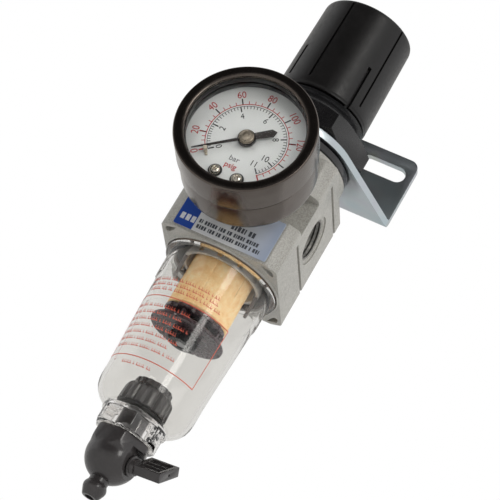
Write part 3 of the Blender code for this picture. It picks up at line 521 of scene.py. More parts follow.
def piece(name, bm, mat, body, replaces=(), sharp=32.0):
    """Puts a mesh drawn in millimetres into the scene, on its body."""
    bmesh.ops.remove_doubles(bm, verts=bm.verts, dist=0.0005)
    bmesh.ops.transform(bm, matrix=TO_ROW, verts=bm.verts)
    mesh = bpy.data.meshes.new(name)
    bm.to_mesh(mesh)
    bm.free()
    mesh.materials.append(mat)
    mesh.shade_smooth()
    mesh.set_sharp_from_angle(angle=radians(sharp))
    obj = bpy.data.objects.new(name, mesh)
    bpy.context.scene.collection.objects.link(obj)
    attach(obj, body)
    if replaces:
        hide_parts(*replaces)
    return obj


def arc(cx, cy, radius, start, end, steps):
    points = []
    for i in range(steps + 1):
        angle = radians(start + (end - start) * i / steps)
        points.append((cx + radius * cos(angle), cy + radius * sin(angle)))
    return points


def polygon(radius, sides, first=0.0):
    return arc(0, 0, radius, first, first + 360.0 * (sides - 1) / sides, sides - 1)


def hex_radius(flats):
    return flats / 2 / cos(radians(30))


def thread(radius, depth, low, high, pitch):
    """The crests and roots of a thread seen in section, from high to low."""
    points = []
    z = high
    while z - pitch > low:
        points += [(radius, z), (radius - depth, z - 0.5 * pitch)]
        z -= pitch
    points.append((radius, z))
    return points


# ---------------------------------------------------------------- knob, nut and bracket

LONG_GROOVES = (-88.0, -16.0, 55.0, 127.0, 199.0)
SHORT_GROOVES = ((-48.0, 46.0), (41.5, 41.0), (131.5, 46.0), (221.5, 41.0))


def groove_depth(phi, z):
    """How deep the knob's wall is cut at an angle from the front towards the outlet, and a height."""
    for centre in LONG_GROOVES:
        off = abs((phi - centre + 180.0) % 360.0 - 180.0)
        if off < 1.15 and 45.4 < z < 76.7:
            return 0.75
    for centre, low in SHORT_GROOVES:
        off = abs((phi - centre + 180.0) % 360.0 - 180.0)
        if off < 2.05 and low < z < 58.1:
            return 1.3
    return 0.0


def knob_angles():
    edges = []
    for centre, half in [(c, 1.1) for c in LONG_GROOVES] + [(c, 2.0) for c, _ in SHORT_GROOVES]:
        edges += [centre - half - 0.3, centre - half, centre + half, centre + half + 0.3]
    plain = [3.0 * i for i in range(120)]
    kept = [a for a in plain if all(abs((a - e + 180.0) % 360.0 - 180.0) > 1.0 for e in edges)]
    kept += edges
    centres = LONG_GROOVES + tuple(c for c, _ in SHORT_GROOVES)
    kept = [a for a in kept if a in edges or all(abs((a - c + 180.0) % 360.0 - 180.0) > 1.4 for c in centres)]
    return sorted((a - 90.0) % 360.0 for a in kept)


def make_knob():
    wall = [(16.35, 43.3), (16.3, 45.2)]
    for z in (45.6, 45.9, 46.3, 50.0, 54.0, 57.9, 58.3, 64.0, 70.0, 76.0, 76.6):
        wall.append((16.35 - 0.6 * (z - 43.0) / 33.5, z))
    top = [(15.7, 77.0), (15.55, 77.4), (15.2, 77.7), (14.5, 77.8), (12.7, 77.8), (12.4, 77.55), (0, 77.55)]
    bottom = [(14.2, 43.2), (14.3, 42.4), (14.6, 42.0), (15.8, 42.0), (16.05, 42.15), (16.1, 42.7), (16.25, 42.95)]
    inner = [(0, 60.2), (6.4, 60.2), (6.4, 71.5), (7.0, 72.0), (13.6, 72.0), (14.2, 71.4)]

    def shape(turn, r, z):
        if r < 15.0 or z > 76.8:
            return r
        return max(14.85, r - groove_depth(turn + 90.0, z))

    profile = inner + bottom + wall + top
    bm = revolve(profile, angles=knob_angles(), shape=shape)
    piece("knob_shell", bm, KNOB_PLASTIC, "control_knob", ["knob"], 28.0)


def make_panel_nut():
    corner = hex_radius(38.0)
    block = prism(polygon(corner, 6, 2.0), 28.1, 36.0)
    chamfer = revolve(
        fillet([(0, 37.0), (19.3, 37.0), (19.3, 36.0), (22.1, 34.5), (22.1, 29.4), (19.6, 28.1), (19.6, 27.3), (0, 27.3)],
               0.4),
        160,
    )
    block = solid(block, [chamfer], "INTERSECT")
    bore = revolve([(0, 38.0), (17.9, 38.0), (17.9, 36.2), (16.65, 35.0), (16.65, 27.0), (0, 27.0)], 128)
    block = solid(block, [bore])
    piece("panel_nut_body", eased(block, 0.28, 2, 25.0), NUT_PLASTIC, "frame", ["panel_nut"], 28.0)


def make_bonnet():
    neck = thread(16.3, 0.75, 36.6, 41.1, 1.5)
    outer = [(12.2, 56.2), (13.4, 55.0), (13.4, 41.3), (15.6, 41.3)] + neck
    outer += [(15.6, 36.2), (15.6, 28.3), (16.2, 28.0), (16.3, 24.9)]
    flange = [(18.9, 24.9), (19.2, 24.6), (19.2, 22.5), (18.9, 22.2), (16.2, 22.2), (16.2, 16.9)]
    inner = [(13.9, 16.9), (13.9, 20.2), (12.0, 22.0), (12.0, 52.9), (4.2, 52.9), (4.2, 56.2)]
    bm = revolve(outer + flange + inner, 128, closed=True)
    piece("bonnet_shell", bm, BONNET_PLASTIC, "frame", ["bonnet"], 30.0)


def bracket_plan():
    half = 31.4
    shoulder = 20.6
    reach = (half ** 2 + shoulder ** 2) ** 0.5
    tangent = degrees(atan2(shoulder, half) - acos(20.3 / reach))
    front = arc(0, 0, 20.3, tangent, -180 - tangent, 90)
    left = [(-half, shoulder - 0.6), (-half - 0.15, shoulder), (-32.3, 21.5), (-32.3, 27.0)]
    return front + left + [(-x, y) for x, y in reversed(left)]


def make_bracket():
    bend_y = 24.4 - 3.0
    bend_z = 25.3 + 3.0
    outer = arc(bend_y, bend_z, 3.0, -90, 0, 14)
    inner = arc(bend_y, bend_z, 0.6, 0, -90, 8)
    side = [(-25.0, 25.3)] + outer + [(24.4, 54.0), (22.0, 54.0)] + inner + [(-25.0, 27.7)]
    turn = Matrix(((0, 0, 1, 0), (1, 0, 0, 0), (0, 1, 0, 0), (0, 0, 0, 1)))
    sheet = moved(prism(side, -40.0, 40.0), turn)
    x, z = 32.3 - 3.2, 51.6 - 3.2
    front = [(36.0, 20.0), (36.0, 32.0), (32.3, 32.0)] + arc(x, z, 3.2, 0, 90, 12) + arc(-x, z, 3.2, 90, 180, 12)
    front += [(-32.3, 32.0), (-36.0, 32.0), (-36.0, 20.0)]
    stand = Matrix.Rotation(pi / 2, 4, "X")
    sheet = solid(sheet, [prism(bracket_plan(), 10.0, 70.0), moved(prism(front, -40.0, 40.0), stand)], "INTERSECT")
    cutters = [revolve([(0, 30.0), (16.6, 30.0), (16.6, 24.0), (0, 24.0)], 128)]
    for s in (-1, 1):
        slot = arc(s * 21.8 + 5.1, 44.6, 2.9, -90, 90, 20) + arc(s * 21.8 - 5.1, 44.6, 2.9, 90, 270, 20)
        cutters.append(moved(prism(slot, -30.0, -15.0), stand))
    sheet = solid(sheet, cutters)
    piece(
        "bracket_sheet", eased(sheet, 0.32, 3, 40.0), ZINC, "frame", ["mounting_bracket"], 35.0
    )


# ---------------------------------------------------------------- body casting

def mirrored(points):
    return points + [(-x, y) for x, y in reversed(points)]


def make_body():
    right = [(16.0, -19.85), (19.4, -18.05), (19.95, -17.2), (19.95, 17.2), (19.4, 18.05), (16.0, 19.85)]
    base = prism(fillet(mirrored(right), 0.5, 3, closed=True), -23.4, 17.5)
    top = revolve(fillet([(0, 21.9), (19.5, 21.9), (19.6, 16.0), (0, 16.0)], 0.5), 128)
    rim_profile = [(0, -24.0), (19.5, -24.0, 0.35), (19.95, -23.2, 0.5), (19.7, -21.8, 0.5), (18.0, -20.5), (0, -20.5)]
    body = solid(base, [top, revolve(fillet(rim_profile, 0.4), 128)], "UNION")

    cutters = []
    for z in (-10.1, 13.1):
        for s in (-1, 1):
            x0, x1 = sorted((s * 19.15, s * 21.5))
            cutters.append(cuboid((x0, -13.0, z - 0.6), (x1, 21.0, z + 0.6)))
    cutters.append(cuboid((-25.0, -25.0, -7.5), (25.0, -15.2, 4.5)))
    for sx in (-1, 1):
        for sy in (-1, 1):
            corner = [(15.7, 16.6), (17.6, 13.8), (18.8, 14.4), (18.3, 17.0), (14.6, 18.6)]
            pocket = fillet([(sx * x, sy * y) for x, y in corner], 0.6, 3, closed=True)
            cutters.append(prism(pocket, -30.0, -18.5))
    body = solid(body, cutters)
    boss = moved(revolve(fillet([(0, 19.3), (7.6, 19.3), (8.1, 13.0), (0, 13.0)], 0.4), 96), GAUGE)
    body = solid(body, [boss], "UNION")
    body = eased(body, 0.35, 3, 35.0)

    above, below = 24.0, -26.0
    bores = [(0, above), (16.6, above), (16.6, 15.3), (13.5, 15.3), (13.5, 9.0), (3.6, 9.0), (3.6, -3.0), (7.4, -3.0),
             (7.4, -12.5), (17.2, -12.5), (17.2, -22.0), (18.8, -22.0), (19.4, -22.4), (19.4, below), (0, below)]
    cutters = [revolve(bores, 128)]
    for s in (-1, 1):
        port = [(0, 22.0), (8.2, 22.0), (8.2, 19.55), (7.1, 19.55), (6.58, 19.0), (6.58, 9.6), (0, 9.6)]
        cutters.append(moved(revolve(port, 96), Matrix.Rotation(s * pi / 2, 4, "Y")))
        hole = [(0, 22.0), (5.5, 22.0), (5.5, 19.4), (4.86, 18.7), (4.86, 10.6), (0, 10.6)]
        front = Matrix.Translation((0, 0, GAUGE_Z)) @ Matrix.Rotation(-s * pi / 2, 4, "X")
        cutters.append(moved(revolve(hole, 64), front))
        cutters.append(rod(1.2, (0, s * 11.9, GAUGE_Z), (0, s * 11.9, 10.0), 24))
    cutters.append(rod(2.6, (-13.0, 0, -13.5), (-13.0, 0, 0), 32))
    cutters.append(rod(2.4, (11.0, 0, 0), (11.0, 0, 10.0), 32))
    body = solid(body, cutters)
    piece("body_casting", body, CASTING, "frame", ["body"], 30.0)


def make_flow_arrow():
    """The raised flow arrow that points from inlet to outlet, on the front above the gauge."""
    arrow = [(-5.0, -0.5), (2.4, -0.5), (2.4, -1.5), (5.6, 0.0), (2.4, 1.5), (2.4, 0.5), (-5.0, 0.5)]
    for s, name in ((-1, "arrow_front"), (1, "arrow_back")):
        turn = Matrix.Rotation(pi / 2, 4, "X")
        if s > 0:
            turn = Matrix.Scale(-1, 4, (0, 1, 0)) @ turn
        bm = moved(prism([(x, z + 11.0) for x, z in arrow], 19.8, 20.15), turn)
        bmesh.ops.recalc_face_normals(bm, faces=bm.faces)
        piece(name, eased(bm, 0.12, 2), CASTING, "frame")


def make_port_threads():
    # The threads and seats deep in the ports take the darkened bore paint, a painted shade.
    for s, name in ((-1, "inlet_thread"), (1, "outlet_thread")):
        profile = [(6.62, 19.2)] + [(r, z) for r, z in thread(6.15, -0.42, 10.6, 19.0, 1.34)] + [(6.62, 10.4)]
        bm = revolve(profile, 72, closed=True)
        piece(name, moved(bm, Matrix.Rotation(s * pi / 2, 4, "Y")), BORE_SHADE, "frame", sharp=20.0)
        seat = revolve(fillet([(0, 9.75), (6.4, 9.75), (6.4, 10.3), (3.2, 10.3), (2.6, 9.9), (0, 9.9)], 0.2), 72)
        piece(name + "_floor", moved(seat, Matrix.Rotation(s * pi / 2, 4, "Y")), BORE_SHADE, "frame")


def make_label():
    outline = fillet([(-16.0, -22.6), (15.6, -22.6), (15.6, -8.2), (-16.0, -8.2)], 0.5, 3, closed=True)
    bm = moved(prism(outline, 20.08, 20.38), Matrix.Rotation(pi / 2, 4, "X"))
    piece("label_foil", eased(bm, 0.06, 1), LABEL, "frame", ["label_plate"])
    make_label_bars()


def blocks_between(left, right, pitch, seed):
    """Plain blocks in word-sized groups, in place of a line of print: (start, end) of each."""
    blocks = []
    at = left
    count = seed
    while at < right - pitch:
        width = pitch * (0.72, 0.5, 0.78, 0.62, 0.35, 0.7)[count % 6]
        blocks.append((at, at + width))
        at += width + 0.24 * pitch
        count += 1
        if count % 5 == 0 or count % 13 == 0:
            at += 0.55 * pitch
    return blocks


def make_label_bars():
    parts = []
    rows = [(1.0, 9.6, -16.2, 1.8, 1.25), (-8.8, 12.8, -18.7, 1.35, 0.95), (-8.8, 13.6, -20.75, 1.35, 0.95)]
    for row, (left, right, z, height, pitch) in enumerate(rows):
        for x0, x1 in blocks_between(left, right, pitch, 3 * row):
            outline = [(x0, z - height / 2), (x1, z - height / 2), (x1, z + height / 2), (x0, z + height / 2)]
            parts.append(moved(prism(outline, 20.37, 20.40), Matrix.Rotation(pi / 2, 4, "X")))
    piece("label_bars", together(*parts), LABEL_PRINT, "frame")
    stand = Matrix.Rotation(pi / 2, 4, "X")
    blocks = []
    for x in (-14.9, -13.1, -11.3):
        blocks.append(moved(cuboid((x, -20.4, 20.37), (x + 1.3, -18.2, 20.40)), stand))
    piece("label_white_blocks", together(*blocks), WHITE_PRINT, "frame")


def make_rear_plug():
    profile = fillet([(0, 19.6), (4.1, 19.6), (4.6, 19.0), (4.6, 12.0), (0, 12.0)], 0.25)
    plug = revolve(profile, 64)
    plug = solid(plug, [prism(polygon(hex_radius(5.0), 6), 16.2, 22.0)])
    turn = Matrix.Translation((0, 0, GAUGE_Z)) @ Matrix.Rotation(-pi / 2, 4, "X")
    piece("rear_plug", moved(plug, turn), BRIGHT_STEEL, "frame", ["rear_port_plug"], 30.0)


# ---------------------------------------------------------------- gauge

def make_gauge_shell():
    case = fillet(
        [(4.9, 31.2), (19.3, 31.2), (19.6, 31.6), (19.6, 43.0), (21.0, 43.0, 0.15), (21.0, 32.4, 1.4), (19.2, 30.0, 1.6),
         (4.9, 30.0)],
        0.3, 6, closed=True,
    )
    piece("gauge_can", moved(revolve(case, 160, closed=True), GAUGE), GUNMETAL, "frame", ["gauge_case"], 35.0)
    bezel = fillet(
        [(18.0, 54.1, 0.12), (18.2, 54.9, 0.3), (19.2, 55.27, 0.5), (20.3, 55.28, 0.5), (21.25, 55.05, 0.15),
         (21.5, 54.7, 0.15), (21.5, 44.1, 0.15), (20.4, 44.1, 0.1), (20.4, 52.6, 0.1), (18.0, 52.6, 0.1)],
        0.3, 6, closed=True,
    )
    # A near-black ring fills the seam between case and bezel: painted shade for the seam line.
    hem = fillet([(19.7, 43.05), (20.3, 43.05), (20.3, 44.5), (19.7, 44.5)], 0.05, 2, closed=True)
    piece("gauge_seam_painted_shade", moved(revolve(hem, 128, closed=True), GAUGE), INNER_BLACK, "frame")
    piece("gauge_ring", moved(revolve(bezel, 160, closed=True), GAUGE), GUNMETAL, "frame", ["gauge_bezel"], 35.0)
    gasket = fillet([(17.7, 52.3), (17.97, 52.3), (17.97, 54.0), (17.85, 54.0)], 0.04, 2, closed=True)
    piece("lens_gasket", moved(revolve(gasket, 128, closed=True), GAUGE), INNER_BLACK, "frame")
    spacer = fillet([(18.1, 50.6), (20.1, 50.6), (20.1, 48.1), (18.3, 48.1)], 0.15, 2, closed=True)
    piece("dial_spacer", moved(revolve(spacer, 128, closed=True), GAUGE), INNER_BLACK, "frame")
    lens = fillet([(0, 52.2), (19.9, 52.2), (19.9, 50.95), (0, 50.95)], 0.2)
    piece("gauge_window", moved(revolve(lens, 128), GAUGE), LENS_CLEAR, "frame", ["gauge_lens"], 30.0)
    dial = fillet([(1.3, 47.78), (19.1, 47.78, 0.5), (19.45, 47.5), (19.45, 47.1), (1.3, 47.1)], 0.05, closed=True)
    piece("dial_face", moved(revolve(dial, 128, closed=True), GAUGE), DIAL_PAINT, "frame", ["gauge_dial"])


def make_gauge_stem():
    profile = fillet(
        [(0, 38.0), (4.6, 38.0), (4.6, 29.7), (5.6, 29.6), (5.6, 20.0), (4.6, 19.9)] + thread(4.6, 0.5, 11.6, 19.6, 1.2)
        + [(4.0, 11.2), (0, 11.2)],
        0.08, 1,
    )
    stem = revolve(profile, 64)
    flats = revolve(fillet([(0, 29.4), (5.7, 29.4), (6.4, 28.6), (6.4, 21.0), (5.7, 20.2), (0, 20.2)], 0.1), 64)
    hexagon = solid(prism(polygon(6.35, 6), 20.2, 29.4), [flats], "INTERSECT")
    arm = cuboid((-3.0, -16.0, 32.0), (3.0, 0.0, 38.0))
    stem = solid(stem, [hexagon, arm], "UNION")
    stem = solid(stem, [rod(1.0, (0, 0, 10), (0, 0, 36), 16)])
    piece("gauge_stem_turned", moved(stem, GAUGE), BRASS, "frame", ["gauge_stem"], 30.0)


def dial_mark(angle, inner, outer, width):
    """One tick as a thin raised bar. The angle runs clockwise from the top."""
    low, high = 47.77, 47.83
    outline = [(-width / 2, inner), (width / 2, inner), (width / 2, outer), (-width / 2, outer)]
    bm = prism(outline, low, high)
    return moved(bm, Matrix.Rotation(radians(-angle), 4, "Z"))


def text_mesh(text, size, x, z, turn, width=1.0, weight=0.03):
    """Raised lettering on the dial, centred on x and z, in the gauge's own frame."""
    curve = bpy.data.curves.new("text", "FONT")
    curve.body = text
    curve.size = size
    curve.align_x = "CENTER"
    curve.align_y = "CENTER"
    curve.extrude = 0.03
    curve.offset = weight
    obj = bpy.data.objects.new("text", curve)
    bpy.context.scene.collection.objects.link(obj)
    bpy.context.view_layer.update()
    mesh = bpy.data.meshes.new_from_object(obj.evaluated_get(bpy.context.evaluated_depsgraph_get()))
    bm = bmesh.new()
    bm.from_mesh(mesh)
    bpy.data.objects.remove(obj, do_unlink=True)
    bpy.data.curves.remove(curve)
    bpy.data.meshes.remove(mesh)
    place = Matrix.Translation((x, z, 47.8)) @ Matrix.Rotation(radians(-turn), 4, "Z")
    return moved(bm, place @ Matrix.Diagonal((width, 1.0, 1.0, 1.0)))


def psi_angle(value):
    """The outer scale runs evenly from 20 and starts a little late, as such dials do."""
    if value >= 20:
        return 1.0 + (value - 80) * 1.725
    return -129.0 + value * (1.0 - 60 * 1.725 + 129.0) / 20


def bar_angle(value):
    if value >= 2:
        return 13.1 + (value - 6) * 25.05
    return -130.0 + value * (13.1 - 4 * 25.05 + 130.0) / 2


def radial_text(text, size, radius, angle, width=1.0):
    turn = radians(angle)
    return text_mesh(text, size, radius * sin(turn), radius * cos(turn), angle, width, 0.0)


def make_dial_print():
    red, black = [], []
    for value in range(0, 161, 5):
        angle = psi_angle(value)
        if value % 20 == 0:
            target = red if value in (0, 160) else black
            target.append(dial_mark(angle, 12.45, 14.5, 0.40))
            if value in (20, 120):
                red.append(dial_mark(angle, 12.9, 14.55, 0.44))
        else:
            red.append(dial_mark(angle, 12.45, 13.5, 0.22))
    for tenth in range(0, 111, 2):
        value = tenth / 10
        major = tenth % 20 == 0 or tenth == 110
        black.append(dial_mark(bar_angle(value), 9.9 if major else 10.8, 11.75, 0.38 if major else 0.20))
    sweep = range(-130, 141, 3)
    ring = [(12.28 * sin(radians(a)), 12.28 * cos(radians(a))) for a in sweep]
    ring += [(12.52 * sin(radians(a)), 12.52 * cos(radians(a))) for a in reversed(sweep)]
    red.append(prism(ring, 47.77, 47.83))
    thin = [(11.72 * sin(radians(a)), 11.72 * cos(radians(a))) for a in sweep]
    thin += [(11.86 * sin(radians(a)), 11.86 * cos(radians(a))) for a in reversed(sweep)]
    black.append(prism(thin, 47.77, 47.825))
    for value in range(0, 121, 20):
        red.append(radial_text(str(value), 3.2, 15.75, psi_angle(value), 0.88))
    for value in (0, 2, 4, 6, 8):
        black.append(radial_text(str(value), 2.7, 8.35, bar_angle(value), 0.9))
    for value in (10, 11):
        angle = radians(bar_angle(value))
        black.append(text_mesh(str(value), 2.8, 8.4 * sin(angle), 8.4 * cos(angle), 0.0, 0.9, 0.01))
    unit = text_mesh("bar", 2.5, -0.3, -7.3, 0.0, weight=0.01)
    red.append(text_mesh("psig", 2.5, -0.3, -9.8, 0.0))
    piece("dial_print_grey", moved(unit, GAUGE), GREY_PRINT, "frame")
    piece("dial_print_red", moved(together(*red), GAUGE), RED_PRINT, "frame")
    piece("dial_print_black", moved(together(*black), GAUGE), BLACK_PRINT, "frame")


def make_dial_screws():
    for s, name, node in ((-1, "dial_screw_a", "dial_screw_left"), (1, "dial_screw_b", "dial_screw_right")):
        head = revolve(fillet([(0, 49.35), (0.7, 49.32), (1.3, 49.05), (1.62, 48.55), (1.7, 48.1), (0, 48.1)], 0.1), 48)
        cross = [cuboid((-0.18, -0.85, 48.75), (0.18, 0.85, 50.0)), cuboid((-0.85, -0.18, 48.75), (0.85, 0.18, 50.0))]
        head = solid(head, cross)
        spot = Matrix.Translation((s * 3.6, -13.15, 0)) @ Matrix.Rotation(radians(20 + 30 * s), 4, "Z")
        piece(name, moved(head, GAUGE @ spot), SCREW_STEEL, "frame", [node], 25.0)
        washer = revolve([(1.2, 48.05), (2.05, 48.05), (2.15, 47.95), (2.1, 47.86), (1.2, 47.86)], 48, closed=True)
        piece(name + "_washer", moved(washer, GAUGE @ spot), INNER_BLACK, "frame")


def make_needle():
    outline = [
        (-0.52, 1.6), (-0.14, 16.4), (0.0, 16.7), (0.14, 16.4), (0.52, 1.6), (1.05, -1.8), (1.2, -8.0), (0.0, -9.2),
        (-1.2, -8.0), (-1.05, -1.8),
    ]
    blade = eased(prism(outline, 49.0, 49.5), 0.09, 2)
    spin = Matrix.Rotation(radians(-NEEDLE_REST), 4, "Z")
    piece("needle_blade", moved(blade, GAUGE @ spin), NEEDLE_BLACK, "gauge_pointer", ["gauge_needle"], 30.0)
    profile = fillet(
        [(0, 50.35), (0.5, 50.35), (0.65, 50.5), (1.5, 50.6), (2.3, 50.35, 0.3), (2.45, 49.7), (2.45, 48.5), (0, 48.5)],
        0.1, 3,
    )
    piece("needle_hub", moved(revolve(profile, 64), GAUGE), HUB_METAL, "gauge_pointer", ["needle_cap"], 30.0)
    collar = revolve(fillet([(2.2, 49.7), (2.55, 49.7), (2.75, 49.4), (2.75, 48.4), (2.2, 48.4)], 0.1, 2, closed=True), 64)
    piece("needle_collar", moved(collar, GAUGE), NEEDLE_BLACK, "gauge_pointer")
    angle = radians(NEEDLE_REST - 5.4)
    x, z = 12.6 * sin(angle), 12.6 * cos(angle)
    post = eased(cuboid((-0.55, -0.55, 47.85), (0.55, 0.55, 50.2)), 0.15, 2)
    foot = eased(cuboid((-1.6, -0.4, 47.84), (1.6, 0.4, 48.3)), 0.1, 2)
    stop = together(post, foot)
    spot = Matrix.Translation((x, z, 0)) @ Matrix.Rotation(radians(-NEEDLE_REST), 4, "Z")
    piece("needle_stop", moved(stop, GAUGE @ spot), CREAM, "frame", ["stop_pin"], 30.0)


# ---------------------------------------------------------------- filter, bowl and drain

def make_filter():
    seam = 0.12
    profile = [
        (6.6, -18.1), (6.9, -17.9), (9.9, -17.9), (10.3, -18.3), (10.3, -40.4), (9.9, -40.8), (6.9, -40.8), (6.6, -40.6),
    ]

    def shape(turn, r, z):
        if r > 9.0:
            return r - seam * max(0.0, 1.0 - abs((turn % 180.0) - 90.0) / 2.0)
        return r

    piece(
        "filter_beads", revolve(profile, 180, closed=True, shape=shape), SINTERED, "frame",
        ["filter_element"], 35.0,
    )


def make_deflector():
    profile = fillet(
        [(5.3, -15.9), (12.4, -15.9, 0.8), (13.4, -17.0, 0.6), (13.4, -24.6), (12.3, -24.6), (12.2, -17.8, 0.5),
         (5.3, -17.6)],
        0.15, 3, closed=True,
    )
    ring = revolve(profile, 128, closed=True)
    legs = []
    for phi in (-72.0, 108.0):
        angle = phi - 90.0
        points = arc(0, 0, 13.3, angle - 9, angle + 9, 8) + arc(0, 0, 12.35, angle + 9, angle - 9, 8)
        legs.append(prism(points, -31.0, -24.65))
    # The legs are drawn in the darker copy of the deflector plastic, a painted shade.
    piece("deflector_legs", together(*legs), LEG_SHADE_PLASTIC, "frame")
    slots = []
    for i in range(12):
        angle = radians(30 * i)
        vane = cuboid((-1.6, -0.8, -23.8), (1.6, 0.8, -19.0))
        spot = Matrix.Translation((12.8 * cos(angle), 12.8 * sin(angle), 0))
        slots.append(moved(vane, spot @ Matrix.Rotation(angle + 0.6, 4, "Z")))
    piece("deflector_ring", solid(ring, slots), DEFLECTOR_PLASTIC, "frame", ["deflector"], 30.0)


def make_retainer():
    profile = fillet(
        [(2.3, -41.1), (10.4, -41.1), (10.4, -42.5), (5.4, -42.9), (4.4, -43.4), (4.4, -45.3), (2.3, -45.3)],
        0.3, 3, closed=True,
    )
    disc = revolve(profile, 128, closed=True)
    cutters = []
    for i in range(8):
        angle = radians(45 * i + 10)
        x, y = 11.2 * cos(angle), 11.2 * sin(angle)
        cutters.append(rod(2.0, (x, y, -44.5), (x, y, -40.0), 32))
    disc = solid(disc, cutters)
    ribs = []
    for i in range(8):
        angle = radians(45 * i - 12)
        rib = cuboid((4.0, -0.45, -44.6), (9.6, 0.45, -42.3))
        ribs.append(moved(rib, Matrix.Rotation(angle, 4, "Z")))
    disc = solid(disc, ribs, "UNION")
    piece("retainer_disc", disc, BAFFLE_PLASTIC, "frame", ["filter_retainer"], 30.0)


def make_baffle():
    profile = fillet(
        [(2.3, -45.6), (11.9, -45.6, 0.3), (12.5, -46.1, 0.3), (12.4, -47.0, 0.3), (5.0, -46.9), (2.3, -47.0)],
        0.1, 3, closed=True,
    )

    def shape(turn, r, z):
        if r < 11.0:
            return r
        dip = max(0.0, 1.0 - abs(((turn + 10.0) % 60.0) - 30.0) / 4.0)
        return r - 0.7 * dip

    disc = revolve(profile, 180, closed=True, shape=shape)
    piece("baffle_disc", disc, BAFFLE_PLASTIC, "frame", ["baffle"], 30.0)
    stud = [(0, -16.4), (1.6, -16.4), (2.0, -16.8)] + thread(2.0, 0.2, -50.0, -17.2, 0.8) + [(1.6, -50.4), (0, -50.4)]
    piece("stud_turned", revolve(stud, 40), SPRING_STEEL, "frame", ["element_stud"], 30.0)
    nut = prism(polygon(hex_radius(8.4), 6, 12.0), -50.5, -47.3)
    shape_of_nut = revolve([(0, -47.0), (4.95, -47.0), (4.95, -49.9), (4.2, -50.5), (0, -50.5)], 64)
    nut = solid(nut, [shape_of_nut], "INTERSECT")
    nut = solid(nut, [rod(2.3, (0, 0, -52), (0, 0, -46), 40)])
    piece("stud_nut", nut, NUT_PLASTIC, "frame", ["element_nut"], 30.0)


BOWL_WALL = ((17.2, -35.1), (16.95, -41.0), (16.6, -50.0), (16.2, -60.0), (16.05, -66.0), (16.0, -71.0))


def make_bowl():
    profile = [
        (13.9, -13.6), (16.3, -13.6), (16.6, -13.9), (16.6, -24.3), (19.0, -24.3, 0.2), (19.2, -24.6, 0.2),
        (19.1, -25.2, 0.3), (17.8, -25.5, 0.3), (17.6, -34.4, 0.3),
    ]
    profile += [(r, z, 0) for r, z in BOWL_WALL]
    profile += [
        (15.85, -72.6, 0), (15.4, -74.1, 0), (14.6, -75.4, 0), (13.6, -76.5, 0), (12.4, -77.4, 0), (11.0, -78.0, 0),
        (4.6, -78.0), (4.6, -76.9), (10.6, -76.9), (12.0, -76.2, 0), (13.2, -75.1, 0), (14.1, -73.8, 0),
        (14.6, -72.2, 0),
    ]
    profile += [(r - 1.3, z, 0) for r, z in reversed(BOWL_WALL)]
    profile += [(16.1, -34.0, 0.4), (16.2, -25.6, 0.6), (15.4, -23.6, 0.6), (15.4, -14.0, 0.2), (14.0, -14.0, 0.1)]
    shell = revolve(fillet(profile, 0.15, 3, closed=True), 180, closed=True)
    ribs = []
    for i in range(12):
        angle = 30.0 * i + 8.0
        rib = cuboid((17.3, -0.35, -34.3), (17.8, 0.35, -25.5))
        ribs.append(moved(rib, Matrix.Rotation(radians(angle), 4, "Z")))
    bead = [(9.9, -78.9), (10.2, -78.35), (10.8, -78.35), (11.0, -79.0), (10.8, -79.6), (10.2, -79.7)]
    boss = solid(
        prism(fillet(polygon(11.3, 6, -20.0), 1.2, 5, closed=True), -85.0, -78.03),
        [revolve(fillet([(0, -70.0), (10.8, -77.6), (10.8, -84.2), (9.9, -85.0), (0, -85.0)], 0.5), 96)],
        "INTERSECT",
    )
    piece("bowl_shell", solid(shell, ribs, "UNION"), BOWL_CLEAR, "filter_bowl", ["bowl"], 32.0)
    boss = solid(boss, [rod(4.6, (0, 0, -86), (0, 0, -76), 48)])
    boss = solid(boss, [revolve(fillet(bead, 0.1, 3, closed=True), 96, closed=True)], "UNION")
    piece("bowl_boss", boss, BOSS_CLEAR, "filter_bowl", sharp=32.0)


def bowl_radius(z):
    """The bowl's outer radius at a height on its plain wall."""
    for (r0, z0), (r1, z1) in zip(BOWL_WALL, BOWL_WALL[1:]):
        if z >= z1:
            return r0 + (r1 - r0) * (z0 - z) / (z0 - z1)
    return BOWL_WALL[-1][0]


def bowl_patch(phi0, phi1, z0, z1):
    """A thin patch of print on the bowl's outside, between two angles and two heights."""
    bm = bmesh.new()
    steps = max(1, int(abs(phi1 - phi0) / 3.0))
    grid = []
    for lift in (0.01, 0.06):
        rows = []
        for z in (z0, z1):
            row = []
            for i in range(steps + 1):
                angle = radians(phi0 + (phi1 - phi0) * i / steps - 90.0)
                reach = bowl_radius(z) + lift
                row.append(bm.verts.new((reach * cos(angle), reach * sin(angle), z)))
            rows.append(row)
        grid.append(rows)
    (a, b), (c, d) = grid
    for i in range(steps):
        bm.faces.new((a[i], a[i + 1], b[i + 1], b[i]))
        bm.faces.new((c[i], c[i + 1], d[i + 1], d[i]))
        bm.faces.new((a[i], a[i + 1], c[i + 1], c[i]))
        bm.faces.new((b[i], b[i + 1], d[i + 1], d[i]))
    for i in (0, steps):
        bm.faces.new((a[i], b[i], d[i], c[i]))
    bmesh.ops.recalc_face_normals(bm, faces=bm.faces)
    return bm


